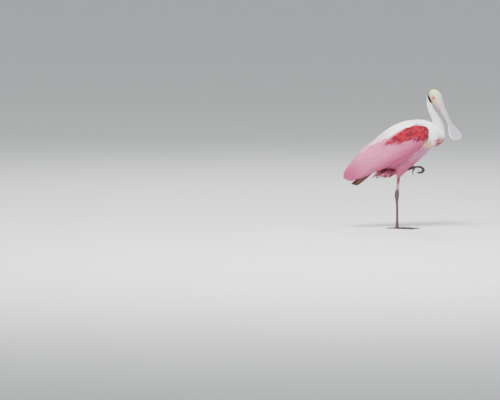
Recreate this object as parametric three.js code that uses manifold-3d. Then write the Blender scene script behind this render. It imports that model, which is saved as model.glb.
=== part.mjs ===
// A life-size roseate spoonbill resting on its right leg, with the left leg drawn up under the belly.
// Millimetres. The bird faces +X, +Z is up, and the origin is on the floor under the standing leg.
// The head is turned towards the bird's right, so that the broad face of the bill shows from that side.
import * as THREE from "three";
import { mergeVertices } from "three/addons/utils/BufferGeometryUtils.js";
import Module from "manifold-3d";

const wasm = await Module();
wasm.setup();

const V = (x, y, z) => new THREE.Vector3(x, y, z);
const radians = THREE.MathUtils.degToRad;

// Driving dimensions.
const GAP = 0.3; // between pieces that touch
const BODY_TILT = radians(31); // the back slopes down to the tail
const BODY_HEIGHT = 300; // of the body's own origin, above the standing foot
const BILL_LENGTH = 162;
const SPOON_WIDTH = 53;
const HEAD_TURN = radians(49); // towards the bird's right
const HEAD_PITCH = radians(45); // the skull's own axis, below level
const BILL_PITCH = radians(53);
const TARSUS_TOP = 119; // the middle of the standing ankle
const VANE_ROOT = 1; // thickness of a feather at its root and at its tip
const VANE_TIP = 0.6;
const RIGHT = -1; // the sign of Y on each side
const LEFT = 1;

// A smooth curve through knots [position, value, value, ...], as a function of position.
function smooth(knots) {
  const slope = (i, k) => {
    const a = knots[Math.max(i - 1, 0)];
    const b = knots[Math.min(i + 1, knots.length - 1)];
    return (b[k] - a[k]) / (b[0] - a[0]);
  };
  return (x) => {
    const last = knots.length - 1;
    const at = THREE.MathUtils.clamp(x, knots[0][0], knots[last][0]);
    let i = 0;
    while (i < last - 1 && at > knots[i + 1][0]) i += 1;
    const [p, q] = [knots[i], knots[i + 1]];
    const span = q[0] - p[0];
    const u = (at - p[0]) / span;
    return p.slice(1).map((from, n) => {
      const k = n + 1;
      const ease = u * u * (3 - 2 * u);
      const out = u * (1 - u) * (1 - u) * span * slope(i, k);
      const into = u * u * (u - 1) * span * slope(i + 1, k);
      return from * (1 - ease) + q[k] * ease + out + into;
    });
  };
}

// A closed geometry through rings of points, each ring going the same way round, with a fan over each end.
// Rings of a thin vane list the upper points and then the lower ones, and mirror splits both faces alike.
function skinOver(rings, { mirror = false } = {}) {
  const sides = rings[0].length;
  const points = rings.flat();
  const faces = [];
  for (let r = 0; r < rings.length - 1; r += 1) {
    for (let k = 0; k < sides; k += 1) {
      const next = (k + 1) % sides;
      const [a, b, c, d] = [r * sides + k, r * sides + next, (r + 1) * sides + next, (r + 1) * sides + k];
      if (mirror && k >= sides / 2) faces.push(a, b, d, b, c, d);
      else faces.push(a, b, c, a, c, d);
    }
  }
  for (const [ring, from] of [[0, 0], [rings.length - 1, (rings.length - 1) * sides]]) {
    for (let k = 1; k < sides - 1; k += 1) {
      if (ring === 0) faces.push(from, from + k + 1, from + k);
      else faces.push(from, from + k, from + k + 1);
    }
  }
  const flat = new Float32Array(points.flatMap((p) => [p.x, p.y, p.z]));
  const geometry = new THREE.BufferGeometry().setIndex(faces);
  return geometry.setAttribute("position", new THREE.BufferAttribute(flat, 3));
}

// A closed three.js geometry as a solid that can be joined and cut.
function solid(geometry) {
  const bare = geometry.clone();
  bare.deleteAttribute("normal");
  bare.deleteAttribute("uv");
  const merged = mergeVertices(bare, 1e-4);
  const triVerts = new Uint32Array(merged.index.array);
  const vertProperties = merged.attributes.position.array;
  const made = new wasm.Manifold(new wasm.Mesh({ numProp: 3, vertProperties, triVerts }));
  if (made.volume() > 0) return made;
  for (let i = 0; i < triVerts.length; i += 3) {
    [triVerts[i + 1], triVerts[i + 2]] = [triVerts[i + 2], triVerts[i + 1]];
  }
  return new wasm.Manifold(new wasm.Mesh({ numProp: 3, vertProperties, triVerts }));
}

const joined = (solids) => wasm.Manifold.union(solids);

// The largest closed body of a solid, which drops the scraps that a cut leaves.
const largest = (made) => made.decompose().sort((a, b) => b.volume() - a.volume())[0];

// A named mesh of a solid.
function piece(name, made, material) {
  const mesh = largest(made).getMesh();
  const geometry = new THREE.BufferGeometry();
  geometry.setAttribute("position", new THREE.BufferAttribute(new Float32Array(mesh.vertProperties), 3));
  geometry.setIndex(new THREE.BufferAttribute(new Uint32Array(mesh.triVerts), 1));
  geometry.computeVertexNormals();
  const made3 = new THREE.Mesh(geometry, material);
  made3.name = name;
  return made3;
}

// A ring of points round a centre, in the plane of across and up.
function ellipse(centre, across, up, halfAcross, halfUp, sides, halfDown = halfUp) {
  return Array.from({ length: sides }, (_, k) => {
    const angle = (2 * Math.PI * k) / sides;
    const rise = Math.cos(angle) >= 0 ? halfUp : halfDown;
    return centre
      .clone()
      .addScaledVector(across, Math.sin(angle) * halfAcross)
      .addScaledVector(up, Math.cos(angle) * rise);
  });
}

// A round limb along a smooth path: sizes gives its half widths across and along its depth at each point.
function limb(path, sizes, { steps, sides, across = V(0, 1, 0) }) {
  const curve = new THREE.CatmullRomCurve3(path, false, "centripetal");
  const size = smooth(sizes.map((s, i) => [i / (sizes.length - 1), ...s]));
  const rings = Array.from({ length: steps + 1 }, (_, i) => {
    const t = i / steps;
    const tangent = curve.getTangent(t);
    const up = V(0, 0, 0).crossVectors(tangent, across).normalize();
    const level = V(0, 0, 0).crossVectors(up, tangent).normalize();
    const [wide, deep] = size(t);
    return ellipse(curve.getPoint(t), level, up, wide, deep, sides);
  });
  return solid(skinOver(rings));
}

// A thin feather through stations {centre, across, normal, half}, thinner towards its tip.
function vane(stations) {
  const last = stations.length - 1;
  const rings = stations.map(({ centre, across, normal, half }, i) => {
    const thick = THREE.MathUtils.lerp(VANE_ROOT, VANE_TIP, i / last) / 2;
    const at = (side, up) =>
      centre.clone().addScaledVector(across, side * half).addScaledVector(normal, up * thick);
    return [at(-1, 1), at(1, 1), at(1, -1), at(-1, -1)];
  });
  return solid(skinOver(rings, { mirror: true }));
}

// What lies ahead of a plane of a solid, and half the gap clear of it.
function ahead(made, at, direction) {
  const size = 900;
  const block = new THREE.BoxGeometry(size, size, size).translate(0, 0, (size + GAP) / 2);
  block.applyQuaternion(new THREE.Quaternion().setFromUnitVectors(V(0, 0, 1), direction.clone().normalize()));
  return made.intersect(solid(block.translate(at.x, at.y, at.z)));
}
const behind = (made, at, direction) => ahead(made, at, direction.clone().negate());

// The body's own frame: s runs forward along the back, t square to it, and y to the bird's left.
const ALONG = V(Math.cos(BODY_TILT), 0, Math.sin(BODY_TILT));
const RISE = V(-Math.sin(BODY_TILT), 0, Math.cos(BODY_TILT));
const body = (s, y, t) => V(0, y, BODY_HEIGHT).addScaledVector(ALONG, s).addScaledVector(RISE, t);

// Torso: top and bottom of the side view, and half the width, along the back.
const TORSO = smooth([
  [-112, -16, -34, 8],
  [-98, 4, -44, 14],
  [-75, 32, -58, 25],
  [-45, 54, -80, 38],
  [0, 66, -93, 47],
  [40, 66, -87, 50],
  [80, 58, -78, 49],
  [110, 45, -71, 45],
  [135, 27, -70, 39],
  [155, 2, -67, 31],
  [168, -20, -57, 20],
]);
// The folded wings' surface round it, which goes on past the torso to the wing tips.
const FOLDED = smooth([
  [-235, 8, -50, 8],
  [-205, 22, -62, 13],
  [-170, 34, -74, 20],
  [-140, 43, -82, 27],
  [-105, 52, -90, 35],
  [-60, 62, -100, 46],
  [0, 67, -106, 51],
  [45, 67, -100, 53],
  [85, 60, -90, 52],
  [112, 47, -80, 48],
  [135, 32, -76, 42],
]);

// A point of a body surface: angle goes from 0 on the back to 180 degrees under the belly.
function shellPoint(shell, side, s, angle, lift) {
  const [top, bottom, half] = shell(s);
  const middle = (top + bottom) / 2;
  const tall = (top - bottom) / 2;
  return body(s, side * (half + lift) * Math.sin(angle), middle + (tall + lift) * Math.cos(angle));
}

// The angle at which a body surface reaches height t in the side view.
function shellAngle(shell, s, t) {
  const [top, bottom] = shell(s);
  return Math.acos(THREE.MathUtils.clamp((2 * t - top - bottom) / (top - bottom), -0.99, 0.99));
}

// A feather laid on a body surface from root to tip, both given as [s, t] in the side view.
// lean lifts its lower edge over the next feather, and lift is its height over the surface at root and tip.
function laidVane(shell, side, { root, tip, width, lift, lean, steps }) {
  const [a, b] = [root, tip].map(([s, t]) => [s, shellAngle(shell, s, t)]);
  const place = (u) => [THREE.MathUtils.lerp(a[0], b[0], u), THREE.MathUtils.lerp(a[1], b[1], u)];
  const shape = smooth([[0, 0.4], [0.3, 0.88], [0.65, 1], [0.88, 0.8], [1, 0.2]]);
  const stations = Array.from({ length: steps + 1 }, (_, i) => {
    const u = 1 - (1 - i / steps) ** 1.6;
    const high = THREE.MathUtils.lerp(lift[0], lift[1], u);
    const [s, angle] = place(u);
    const centre = shellPoint(shell, side, s, angle, high);
    const [s2, angle2] = place(u + 0.01);
    const forward = shellPoint(shell, side, s2, angle2, high).sub(centre).normalize();
    const round = shellPoint(shell, side, s, angle + 0.01, high).sub(centre).normalize();
    const normal = V(0, 0, 0).crossVectors(forward, round).multiplyScalar(-side).normalize();
    const across = V(0, 0, 0).crossVectors(normal, forward).multiplyScalar(-side).normalize();
    across.applyAxisAngle(forward, side * lean);
    normal.applyAxisAngle(forward, side * lean);
    return { centre, across, normal, half: (width / 2) * shape(u)[0] };
  });
  return vane(stations);
}

// A fan of feathers between a first and a last one, as laidVane takes them.
function fan(shell, side, count, at) {
  return Array.from({ length: count }, (_, i) => laidVane(shell, side, at(i / (count - 1), i)));
}

const between = (knots) => {
  const curve = smooth(knots.map(([s, t], i) => [i / (knots.length - 1), s, t]));
  return (u) => curve(u);
};

// Wing: the forearm under the coverts, and the feathers in tiers. Each tier is rooted further forward than
// the last and lies higher.
const TIERS = [
  {
    count: 10,
    roots: between([[108, -26], [96, -16], [76, -4], [52, 10], [28, 22], [8, 32], [-8, 40]]),
    tips: between([
      [-26, -50], [-80, -37], [-134, -29], [-178, -27], [-212, -19],
      [-225, -5], [-221, 5], [-203, 16], [-168, 29],
    ]),
    width: 27,
    lift: [4, 3.6],
    lean: 0.19,
    steps: 3,
  },
  {
    count: 9,
    roots: between([[110, -22], [80, -6], [40, 16], [0, 37]]),
    tips: between([[38, -48], [-8, -40], [-54, -28], [-88, -9], [-106, 12], [-108, 34]]),
    width: 24,
    lift: [7, 9],
    lean: 0.16,
    steps: 3,
  },
  {
    count: 8,
    roots: between([[112, -16], [80, 2], [40, 22], [4, 37]]),
    tips: between([[66, -36], [34, -30], [2, -19], [-26, -3], [-42, 15], [-44, 32]]),
    width: 21,
    lift: [9, 12.6],
    lean: 0.14,
    steps: 2,
  },
  {
    count: 6,
    roots: between([[121, -8], [104, 8], [74, 24], [36, 35]]),
    tips: between([[90, -22], [66, -14], [40, -3], [12, 12], [-8, 28]]),
    width: 20,
    lift: [9, 14.5],
    lean: 0.12,
    steps: 2,
  },
];

function wing(side) {
  const forearm = smooth([
    [-40, 42, 18],
    [-10, 45, -6],
    [30, 44, -30],
    [70, 38, -41],
    [100, 29, -38],
    [116, 18, -24],
    [127, 6, -8],
  ]);
  const outer = smooth([[-40, 4], [0, 10.5], [40, 12.5], [90, 12], [118, 9], [130, 3]]);
  const steps = 8;
  const rings = Array.from({ length: steps + 1 }, (_, i) => {
    const s = THREE.MathUtils.lerp(-40, 127, i / steps);
    const [high, low] = forearm(s).map((t) => shellAngle(FOLDED, s, t));
    const cuts = [0, 0.15, 0.5, 0.85, 1];
    const thick = outer(s)[0];
    const at = (k, lift) => shellPoint(FOLDED, side, s, THREE.MathUtils.lerp(high, low, cuts[k]), lift);
    const outside = [1.6, thick * 0.75, thick, thick * 0.75, 1.6].map((lift, k) => at(k, lift));
    return [...outside, ...[3, 2, 1].map((k) => at(k, 0.6))];
  });
  const core = solid(skinOver(rings));
  const feathers = TIERS.flatMap(({ count, roots, tips, ...size }) =>
    fan(FOLDED, side, count, (u) => ({ root: roots(u), tip: tips(u), ...size })),
  );
  return joined([core, ...feathers]);
}

// Torso under its feathers.
function torsoCore(grow = 0) {
  const steps = 15;
  const sides = 20;
  const rings = Array.from({ length: steps + 1 }, (_, i) => {
    const s = THREE.MathUtils.lerp(-112, 166, i / steps);
    const [top, bottom, half] = TORSO(s);
    const [wide, tall] = [half + grow, (top - bottom) / 2 + grow];
    return ellipse(body(s, 0, (top + bottom) / 2), V(0, 1, 0), RISE, wide, tall, sides);
  });
  return solid(skinOver(rings));
}

// The surface that the feathers of the back lie on, which runs on over the rump.
const BACK = smooth([
  [-170, 30, -50, 22],
  [-140, 41, -60, 29],
  [-112, 48, -68, 34],
  [-80, 55, -76, 38],
  [-45, 62, -84, 42],
  [0, 67, -93, 47],
  [40, 66, -87, 50],
  [80, 58, -78, 49],
  [110, 45, -71, 45],
]);

function scapulars(side) {
  const rows = [
    { count: 5, s: [[106, 10], [44, -84]], angle: [0.5, 0.62], lift: [-2, 3] },
    { count: 5, s: [[100, -30], [30, -132]], angle: [0.2, 0.24], lift: [-2, 5] },
  ];
  const height = (s, angle) => {
    const [top, bottom] = BACK(s);
    return (top + bottom) / 2 + ((top - bottom) / 2) * Math.cos(angle);
  };
  return rows.flatMap(({ count, s, angle, lift }) =>
    Array.from({ length: count }, (_, i) => {
      const [root, tip] = s.map(([from, to], k) => {
        const at = THREE.MathUtils.lerp(from, to, i / (count - 1));
        return [at, height(at, angle[k])];
      });
      return laidVane(BACK, side, { root, tip, width: 23, lift, lean: -0.12, steps: 2 });
    }),
  );
}

// Neck path from the skull down into the breast, with its half widths.
const NECK = [
  [V(127, 0, 490), 10],
  [V(117.5, 3, 474), 11.2],
  [V(115.5, 3, 456), 11],
  [V(118.5, 2, 440), 11.8],
  [V(124, 1, 426), 12.6],
  [V(132, 0, 411), 14.5],
  [V(140, 0, 396), 16.5],
  [V(146.5, 0, 380), 19],
  [V(149, 0, 362), 22],
  [V(146, 0, 345), 26],
  [V(134, 0, 331), 29],
  [V(116, 0, 322), 26],
];
const neckCore = () =>
  limb(NECK.map(([p]) => p), NECK.map(([, r]) => [r, r]), { steps: 18, sides: 18 });

// The tuft of curled plumes at the foot of the breast.
function curl(root, direction, length, droop, wide, roll = 0) {
  const steps = 3;
  const stations = Array.from({ length: steps + 1 }, (_, i) => {
    const u = i / steps;
    const centre = root.clone().addScaledVector(direction, length * u).add(V(0, 0, -droop * u * u));
    const forward = direction.clone().multiplyScalar(length).add(V(0, 0, -2 * droop * u)).normalize();
    const across = V(0, 0, 0).crossVectors(forward, V(0, 0, 1)).normalize().applyAxisAngle(forward, roll);
    const normal = V(0, 0, 0).crossVectors(across, forward);
    return { centre, across, normal, half: (wide / 2) * (1 - 0.75 * u * u) };
  });
  return vane(stations);
}

function breastTuft() {
  const columns = 4;
  const rows = 3;
  return Array.from({ length: columns * rows }, (_, i) => {
    const row = Math.floor(i / columns);
    const shift = row % 2 ? 0.12 : -0.04;
    const sideways = (i % columns) / (columns - 1) - 0.5 + shift;
    const root = body(163 - row * 12, sideways * 38, -42 - row * 8 + 26 * sideways * sideways);
    const direction = V(0.42 - row * 0.2, sideways * 0.45, -0.85).normalize();
    return curl(root, direction, 28 + 3 * Math.cos(3 * sideways + row), -3 - row, 14);
  });
}

// Head, in its own frame: x forward to the bill, z to the crown, y to the left.
const HEAD_AT = V(138, -12, 477);
const turned = (pitch) =>
  new THREE.Matrix4().makeBasis(
    V(Math.cos(pitch) * Math.cos(HEAD_TURN), -Math.cos(pitch) * Math.sin(HEAD_TURN), -Math.sin(pitch)),
    V(Math.sin(HEAD_TURN), Math.cos(HEAD_TURN), 0),
    V(Math.sin(pitch) * Math.cos(HEAD_TURN), -Math.sin(pitch) * Math.sin(HEAD_TURN), Math.cos(pitch)),
  );
const HEAD_FRAME = turned(HEAD_PITCH).setPosition(HEAD_AT);
const BILL_ROOT = V(25, 0, -1).applyMatrix4(HEAD_FRAME);
const BILL_FRAME = turned(BILL_PITCH).setPosition(BILL_ROOT);

// Skull with its skin: top, bottom and half width along the head.
const SKULL = smooth([
  [-31, 1, -3, 3],
  [-28, 9, -8, 11],
  [-21, 15, -13.5, 16.5],
  [-11, 19.5, -18, 20],
  [0, 21.5, -20.5, 21],
  [12, 20.2, -20.5, 20],
  [22, 16.5, -19, 17.5],
  [30, 13, -17, 15.8],
]);
const EYE = { at: V(8.8, 15.5, 5), radius: 5.6 };

function skullSolid(grow = 0) {
  const steps = 10;
  const rings = Array.from({ length: steps + 1 }, (_, i) => {
    const x = THREE.MathUtils.lerp(-31, 30, i / steps);
    const [top, bottom, half] = SKULL(x);
    const centre = V(x + grow * Math.sign(x), 0, (top + bottom) / 2);
    return ellipse(centre, V(0, 1, 0), V(0, 0, 1), half + grow, (top - bottom) / 2 + grow, 16);
  });
  return solid(skinOver(rings));
}

// A round ball at a place.
function ball(centre, radius, wide = 12, tall = 8) {
  return solid(new THREE.SphereGeometry(radius, wide, tall).translate(centre.x, centre.y, centre.z));
}

// A lid: a thick ring round the eye, open where the eye shows.
function lids(side) {
  const ring = new THREE.TorusGeometry(EYE.radius * 0.93, 1.5, 4, 10);
  ring.scale(1.12, 0.86, 1);
  ring.rotateX(Math.PI / 2);
  ring.rotateZ(side * radians(-6));
  ring.translate(EYE.at.x, side * (EYE.at.y + 3.4), EYE.at.z);
  return solid(ring);
}

function head() {
  const eyes = [LEFT, RIGHT].map((side) => V(EYE.at.x, side * EYE.at.y, EYE.at.z));
  const skull = joined([skullSolid(), lids(LEFT), lids(RIGHT)]);
  const sockets = eyes.map((at) => ball(at, EYE.radius + GAP));
  const ears = [LEFT, RIGHT].map((side) => {
    const hole = new THREE.SphereGeometry(2.6, 7, 5).scale(0.7, 1, 1.3);
    return solid(hole.translate(-15, side * 19.8, -1));
  });
  const gape = [LEFT, RIGHT].map((side) => {
    const groove = new THREE.BoxGeometry(16, 4, 0.8).rotateY(radians(14));
    return solid(groove.translate(20, side * 18.4, -5));
  });
  return skull.subtract(joined([...sockets, ...ears, ...gape]));
}

// Bill: half width, height of the upper half, depth of the lower half, and the line between them.
const BILL = smooth([
  [-8, 15, 12, 13, 0],
  [0, 15, 12.6, 13.5, 0],
  [15, 13.8, 11, 11.2, 0],
  [35, 11.6, 7.8, 7, 0.3],
  [60, 9.9, 5.4, 4.2, 0.8],
  [85, 10, 4.1, 3.1, 1.4],
  [102, 12.4, 3.4, 2.6, 1.6],
  [118, 18.4, 2.9, 2.3, 1.0],
  [132, 24.4, 2.7, 2.1, 0],
  [143, SPOON_WIDTH / 2, 2.5, 1.9, -0.9],
  [153, 22.6, 2.3, 1.8, -2],
  [159, 14.8, 2, 1.6, -2.8],
  [BILL_LENGTH, 5, 1.4, 1.2, -3.4],
]);
const BILL_STATIONS = [
  -6, 2, 12, 25, 42, 60, 80, 96, 108, 118, 127, 135, 143, 149, 154, 158, 161, BILL_LENGTH,
];

// The outer line of one half of the bill across it: arched at the root, flat at the spoon.
function billArch(x, upper, grow = 0) {
  const [half, high, deep, line] = BILL(x);
  const spoon = 0.9 * THREE.MathUtils.smoothstep(x, 90, 125);
  const rim = 0.42;
  return [-1, -0.86, -0.5, 0, 0.5, 0.86, 1].map((a) => {
    const round = rim + (1 - rim) * Math.sqrt(1 - a * a);
    const dished = 0.72 + 0.28 * a * a;
    const rise = (upper ? high : deep) * THREE.MathUtils.lerp(round, dished, spoon) + GAP / 2 + grow;
    return V(x, a * (half + grow), line + (upper ? rise : -rise));
  });
}

function billHalf(upper) {
  const rings = BILL_STATIONS.map((x) => {
    const arch = billArch(x, upper);
    const meet = BILL(x)[3] + (upper ? GAP / 2 : -GAP / 2);
    const inner = [arch.at(-1), arch[0]].map((p) => V(x, p.y, meet));
    return [...arch, ...inner];
  });
  const made = solid(skinOver(rings));
  if (!upper) return made;
  const nostrils = [LEFT, RIGHT].map((side) => {
    const slot = new THREE.SphereGeometry(1, 7, 5).scale(5, 0.9, 2.2);
    return solid(slot.rotateZ(side * radians(-7)).translate(14, side * 6, 10.4));
  });
  return made.subtract(joined(nostrils));
}

// The hollow of the head in which the bill is rooted, a gap wider than the bill.
function billRoom() {
  const first = BILL_STATIONS[0];
  const rings = [first - GAP, 2, 12, 25, 42].map((x) => {
    const at = Math.max(x, first);
    const upper = billArch(at, true, GAP);
    const lower = billArch(at, false, GAP).reverse();
    return [...upper, ...lower].map((p) => V(x, p.y, p.z));
  });
  return solid(skinOver(rings));
}

const TAIL_CUT = body(-111, 0, -25);

// Tail: twelve flat feathers stacked from the middle pair down, the coverts under them, and the stub that
// holds them.
function tail() {
  const stub = limb(
    [body(-100, 0, -22), body(-112, 0, -25), body(-122, 0, -27), body(-136, 0, -31)],
    [[9, 11], [10, 9.5], [12, 8], [11, 3]],
    { steps: 5, sides: 12 },
  );
  const pairs = 6;
  const feathers = [LEFT, RIGHT].flatMap((side) =>
    Array.from({ length: pairs }, (_, i) => {
      const from = V(-118 + i, side * (1.5 + i * 1.6), -28.5 - i * 0.7);
      const to = V(-214 + i * 2, side * (3 + i * 3.4), -34 - i * 2.2 - (side > 0 ? 1 : 0));
      const steps = 3;
      const stations = Array.from({ length: steps + 1 }, (_, k) => {
        const u = 1 - (1 - k / steps) ** 1.6;
        const at = from.clone().lerp(to, u);
        const shape = smooth([[0, 0.4], [0.3, 0.85], [0.7, 1], [0.92, 0.8], [1, 0.35]]);
        const across = V(0, 1, 0).applyAxisAngle(ALONG, side * -0.16);
        const normal = RISE.clone().applyAxisAngle(ALONG, side * -0.16);
        return { centre: body(at.x, at.y, at.z), across, normal, half: 10.5 * shape(u)[0] };
      });
      return vane(stations);
    }),
  );
  const coverts = Array.from({ length: 6 }, (_, i) => {
    const sideways = (i % 3) / 2 - 0.5;
    const root = body(-112 - (i > 2 ? 9 : 0), sideways * 15, -33 + 8 * sideways * sideways);
    return curl(root, V(-0.92, sideways * 0.12, -0.4).normalize(), i > 2 ? 52 : 44, 3, 15);
  });
  return behind(joined([stub, ...feathers, ...coverts]), TAIL_CUT, ALONG);
}

// The curled plumes under the tail, which hang from the rear of the belly.
function ventPlumes() {
  const rows = 4;
  const columns = 3;
  const lengths = [34, 42, 44, 38];
  return Array.from({ length: rows * columns }, (_, i) => {
    const row = Math.floor(i / columns);
    const shift = row % 2 ? 0.1 : -0.05;
    const sideways = (i % columns) / (columns - 1) - 0.5 + shift;
    const s = -42 - row * 16;
    const [, bottom, half] = TORSO(s);
    const root = body(s, sideways * half * 1.15, bottom + 7 + 34 * sideways * sideways);
    const direction = V(-0.88 + row * 0.14, sideways * 0.3, -0.45 - row * 0.15).normalize();
    return curl(root, direction, lengths[row], 4, 19, (sideways < 0 ? 1 : -1) * radians(58));
  });
}

// Legs: each length as rows of x, y, z, half width across and half depth. They run past the joints that
// they are parted at.
const STANDING = {
  thigh: [
    [24, -24, 252, 17, 28],
    [17, -23, 226, 17, 24],
    [10, -20, 207, 14, 17],
    [6, -15.5, 194, 9, 10.5],
    [5, -13, 184, 6.4, 7],
  ],
  shank: [
    [5.4, -13.8, 192, 4.8, 5.6],
    [3.6, -11.4, 168, 4.7, 5.5],
    [1.6, -9.4, 147, 4.9, 5.8],
    [0, -8, 133, 6.2, 7.6],
    [-0.8, -7.3, 121, 6.8, 8.6],
    [-0.8, -7, 114, 6.4, 7.8],
  ],
  tarsus: [
    [-0.8, -7.4, 123, 6.8, 8.4],
    [-0.6, -6.7, 110, 5.6, 6.8],
    [0, -5.4, 92, 3.7, 4.8],
    [0.6, -3.4, 60, 3.5, 4.6],
    [0.8, -1.4, 28, 3.7, 4.9],
    [0.6, 0, 9, 4.8, 5.6],
  ],
  knee: [V(5, -13.5, 188), V(0, 0, -1)],
  ankle: [V(-0.8, -7.2, TARSUS_TOP), V(0.3, 0, -1)],
  toes: [V(0.6, 0, 12.6), V(0, 0, -1)],
};
const RAISED = {
  thigh: [
    [64, 20, 278, 16, 20],
    [36, 27, 246, 15, 22],
    [8, 30, 225, 12, 15],
    [-12, 31.5, 213, 8.2, 9],
    [-24, 32, 206, 6, 6.4],
  ],
  shank: [
    [-12, 32, 213, 4.8, 5.4],
    [-28, 32, 204, 5, 6],
    [-38, 31.4, 199, 6.6, 8],
    [-45, 30.8, 193.5, 6.4, 7.6],
    [-43, 29.8, 187.5, 5, 6],
  ],
  tarsus: [
    [-46, 30.4, 196, 5.4, 6.6],
    [-44, 29.6, 189.5, 6, 7],
    [-34, 28.4, 190.5, 5.4, 6],
    [-20, 26.6, 194.5, 4, 4.8],
    [12, 22, 205, 3.5, 4.6],
    [44, 18, 214.8, 3.7, 4.8],
    [58, 16.5, 219.6, 4.8, 5.4],
  ],
  knee: [V(-18, 32, 209.6), V(-0.84, 0, -0.54)],
  ankle: [V(-44, 30, 193.2), V(0.4, 0, -0.92)],
  toes: [V(54, 17, 218.2), V(0.95, -0.08, 0.31)],
};
const length = (rows, steps, sides, grow = 0) =>
  limb(
    rows.map(([x, y, z]) => V(x, y, z)),
    rows.map(([, , , ...size]) => size.map((r) => r + grow)),
    { steps, sides },
  );

// A leg from the belly to the toes, parted at its joints.
function leg({ thigh, shank, tarsus, knee, ankle, toes }) {
  return {
    thigh: behind(length(thigh, 7, 14), ...knee).subtract(torsoCore(GAP)),
    shank: behind(ahead(length(shank, 9, 12), ...knee), ...ankle),
    tarsus: behind(ahead(length(tarsus, 10, 12), ...ankle), ...toes),
  };
}

// A toe along its own path, with a pad under each joint.
function toe(path, thick) {
  const sizes = path.map((_, i) => {
    const taper = 1 - (0.42 * i) / (path.length - 1);
    const knuckle = i % 2 ? 1.1 : 0.94;
    return [thick * taper * knuckle, thick * taper * knuckle];
  });
  return limb(path, sizes, { steps: path.length + 1, sides: 6, across: V(0.05, 1, 0.02).normalize() });
}

const SOLE = solid(new THREE.BoxGeometry(400, 400, 40).translate(0, 0, -20));

// Toes of the standing foot: its length, the angle from straight ahead, and its thickness.
const TOES = [
  { name: "inner", length: 55, angle: radians(27), thick: 3.7 },
  { name: "middle", length: 76, angle: radians(-2), thick: 4.1 },
  { name: "outer", length: 65, angle: radians(-30), thick: 3.8 },
  { name: "hind", length: 34, angle: radians(168), thick: 3.4 },
];
const CLAW_LENGTH = 9;

function claw(root, direction, drop, thick) {
  const path = [0, 0.5, 1].map((u) =>
    root.clone().addScaledVector(direction, CLAW_LENGTH * u).addScaledVector(drop, 2.4 * u * u),
  );
  return limb(path, [[thick, thick], [thick * 0.78, thick * 0.8], [0.35, 0.35]], { steps: 3, sides: 6 });
}

function standingFoot() {
  const pad = limb(
    [V(0.6, 0, 15), V(0.5, 0, 8), V(0.5, 0, 4), V(0.5, 0, -2)],
    [[4.7, 5.5], [5.6, 6.6], [7, 8], [7, 8]],
    { steps: 4, sides: 12 },
  );
  const claws = [];
  const toes = TOES.map(({ name, length, angle, thick }) => {
    const direction = V(Math.cos(angle), Math.sin(angle), 0);
    const at = (reach, z) => V(0.5, 0, z).addScaledVector(direction, reach * length);
    const path = [at(0.02, 4.6), at(0.2, 3), at(0.42, 2.5), at(0.62, 2.3), at(0.82, 2.1), at(1, 1.9)];
    const nail = claw(at(1, 2.3).addScaledVector(direction, GAP), direction, V(0, 0, -0.45), 1.9);
    claws.push({ name: `claw_right_${name}`, made: nail.subtract(SOLE) });
    return toe(path, thick);
  });
  const web = (a, b, reach) => {
    const corner = (t, share) =>
      V(0.5 + Math.cos(t.angle) * t.length * share, Math.sin(t.angle) * t.length * share, 0);
    const [p, q] = [corner(a, reach), corner(b, reach * 0.92)];
    const middle = p.clone().add(q).multiplyScalar(0.5 * 0.74);
    const outline = new THREE.Shape([V(0, 0), p, middle, q].map((v) => new THREE.Vector2(v.x, v.y)));
    const sheet = new THREE.ExtrudeGeometry(outline, { depth: 1.4, bevelEnabled: false });
    return solid(sheet.translate(0, 0, 0.9));
  };
  const webs = [web(TOES[1], TOES[0], 0.42), web(TOES[2], TOES[1], 0.5)];
  const foot = ahead(joined([pad, ...toes, ...webs]), ...STANDING.toes);
  return { foot: foot.subtract(SOLE), claws };
}

// The closed foot: each toe curls down and back from the end of the folded tarsus.
function raisedFoot() {
  const [base, forward] = RAISED.toes.map((v) => v.clone());
  const pad = limb(
    [-4, 6, 12].map((reach) => base.clone().addScaledVector(forward, reach)),
    [[4.7, 5.3], [6.4, 6.2], [5.2, 4.8]],
    { steps: 4, sides: 12 },
  );
  const claws = [];
  const curls = [
    { name: "inner", spread: -7, size: 0.82 },
    { name: "middle", spread: 0, size: 1 },
    { name: "outer", spread: 7, size: 0.9 },
  ];
  const start = base.clone().addScaledVector(forward, 9);
  const toes = curls.map(({ name, spread, size }, i) => {
    const at = (x, z, y) => start.clone().add(V(x * size, spread * y, z * size));
    const bend = [[0, 0, 0.45], [14, 2, 1], [27, 0, 1.2], [35, -8, 1.3], [31, -18, 1.3], [18, -21, 1.2]];
    const path = bend.map((offset) => at(...offset));
    const [last, before] = [path.at(-1), path.at(-2)];
    const direction = last.clone().sub(before).normalize();
    const nail = claw(last.clone().addScaledVector(direction, GAP), direction, V(0, 0, 1), 1.9);
    claws.push({ name: `claw_left_${name}`, made: nail });
    return toe(path, TOES[i].thick);
  });
  const hindPath = [V(0, 0, -1), V(-2, -1, -9), V(-6, -1, -16), V(-5, -1, -22)].map((v) => v.add(start));
  const direction = hindPath[3].clone().sub(hindPath[2]).normalize();
  const nail = claw(hindPath[3].clone().addScaledVector(direction, GAP), direction, V(1, 0, 0), 1.7);
  claws.push({ name: "claw_left_hind", made: nail });
  const heel = ahead(joined([pad, ...toes]), base, forward);
  return { foot: joined([heel, toe(hindPath, TOES[3].thick)]), claws };
}

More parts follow.
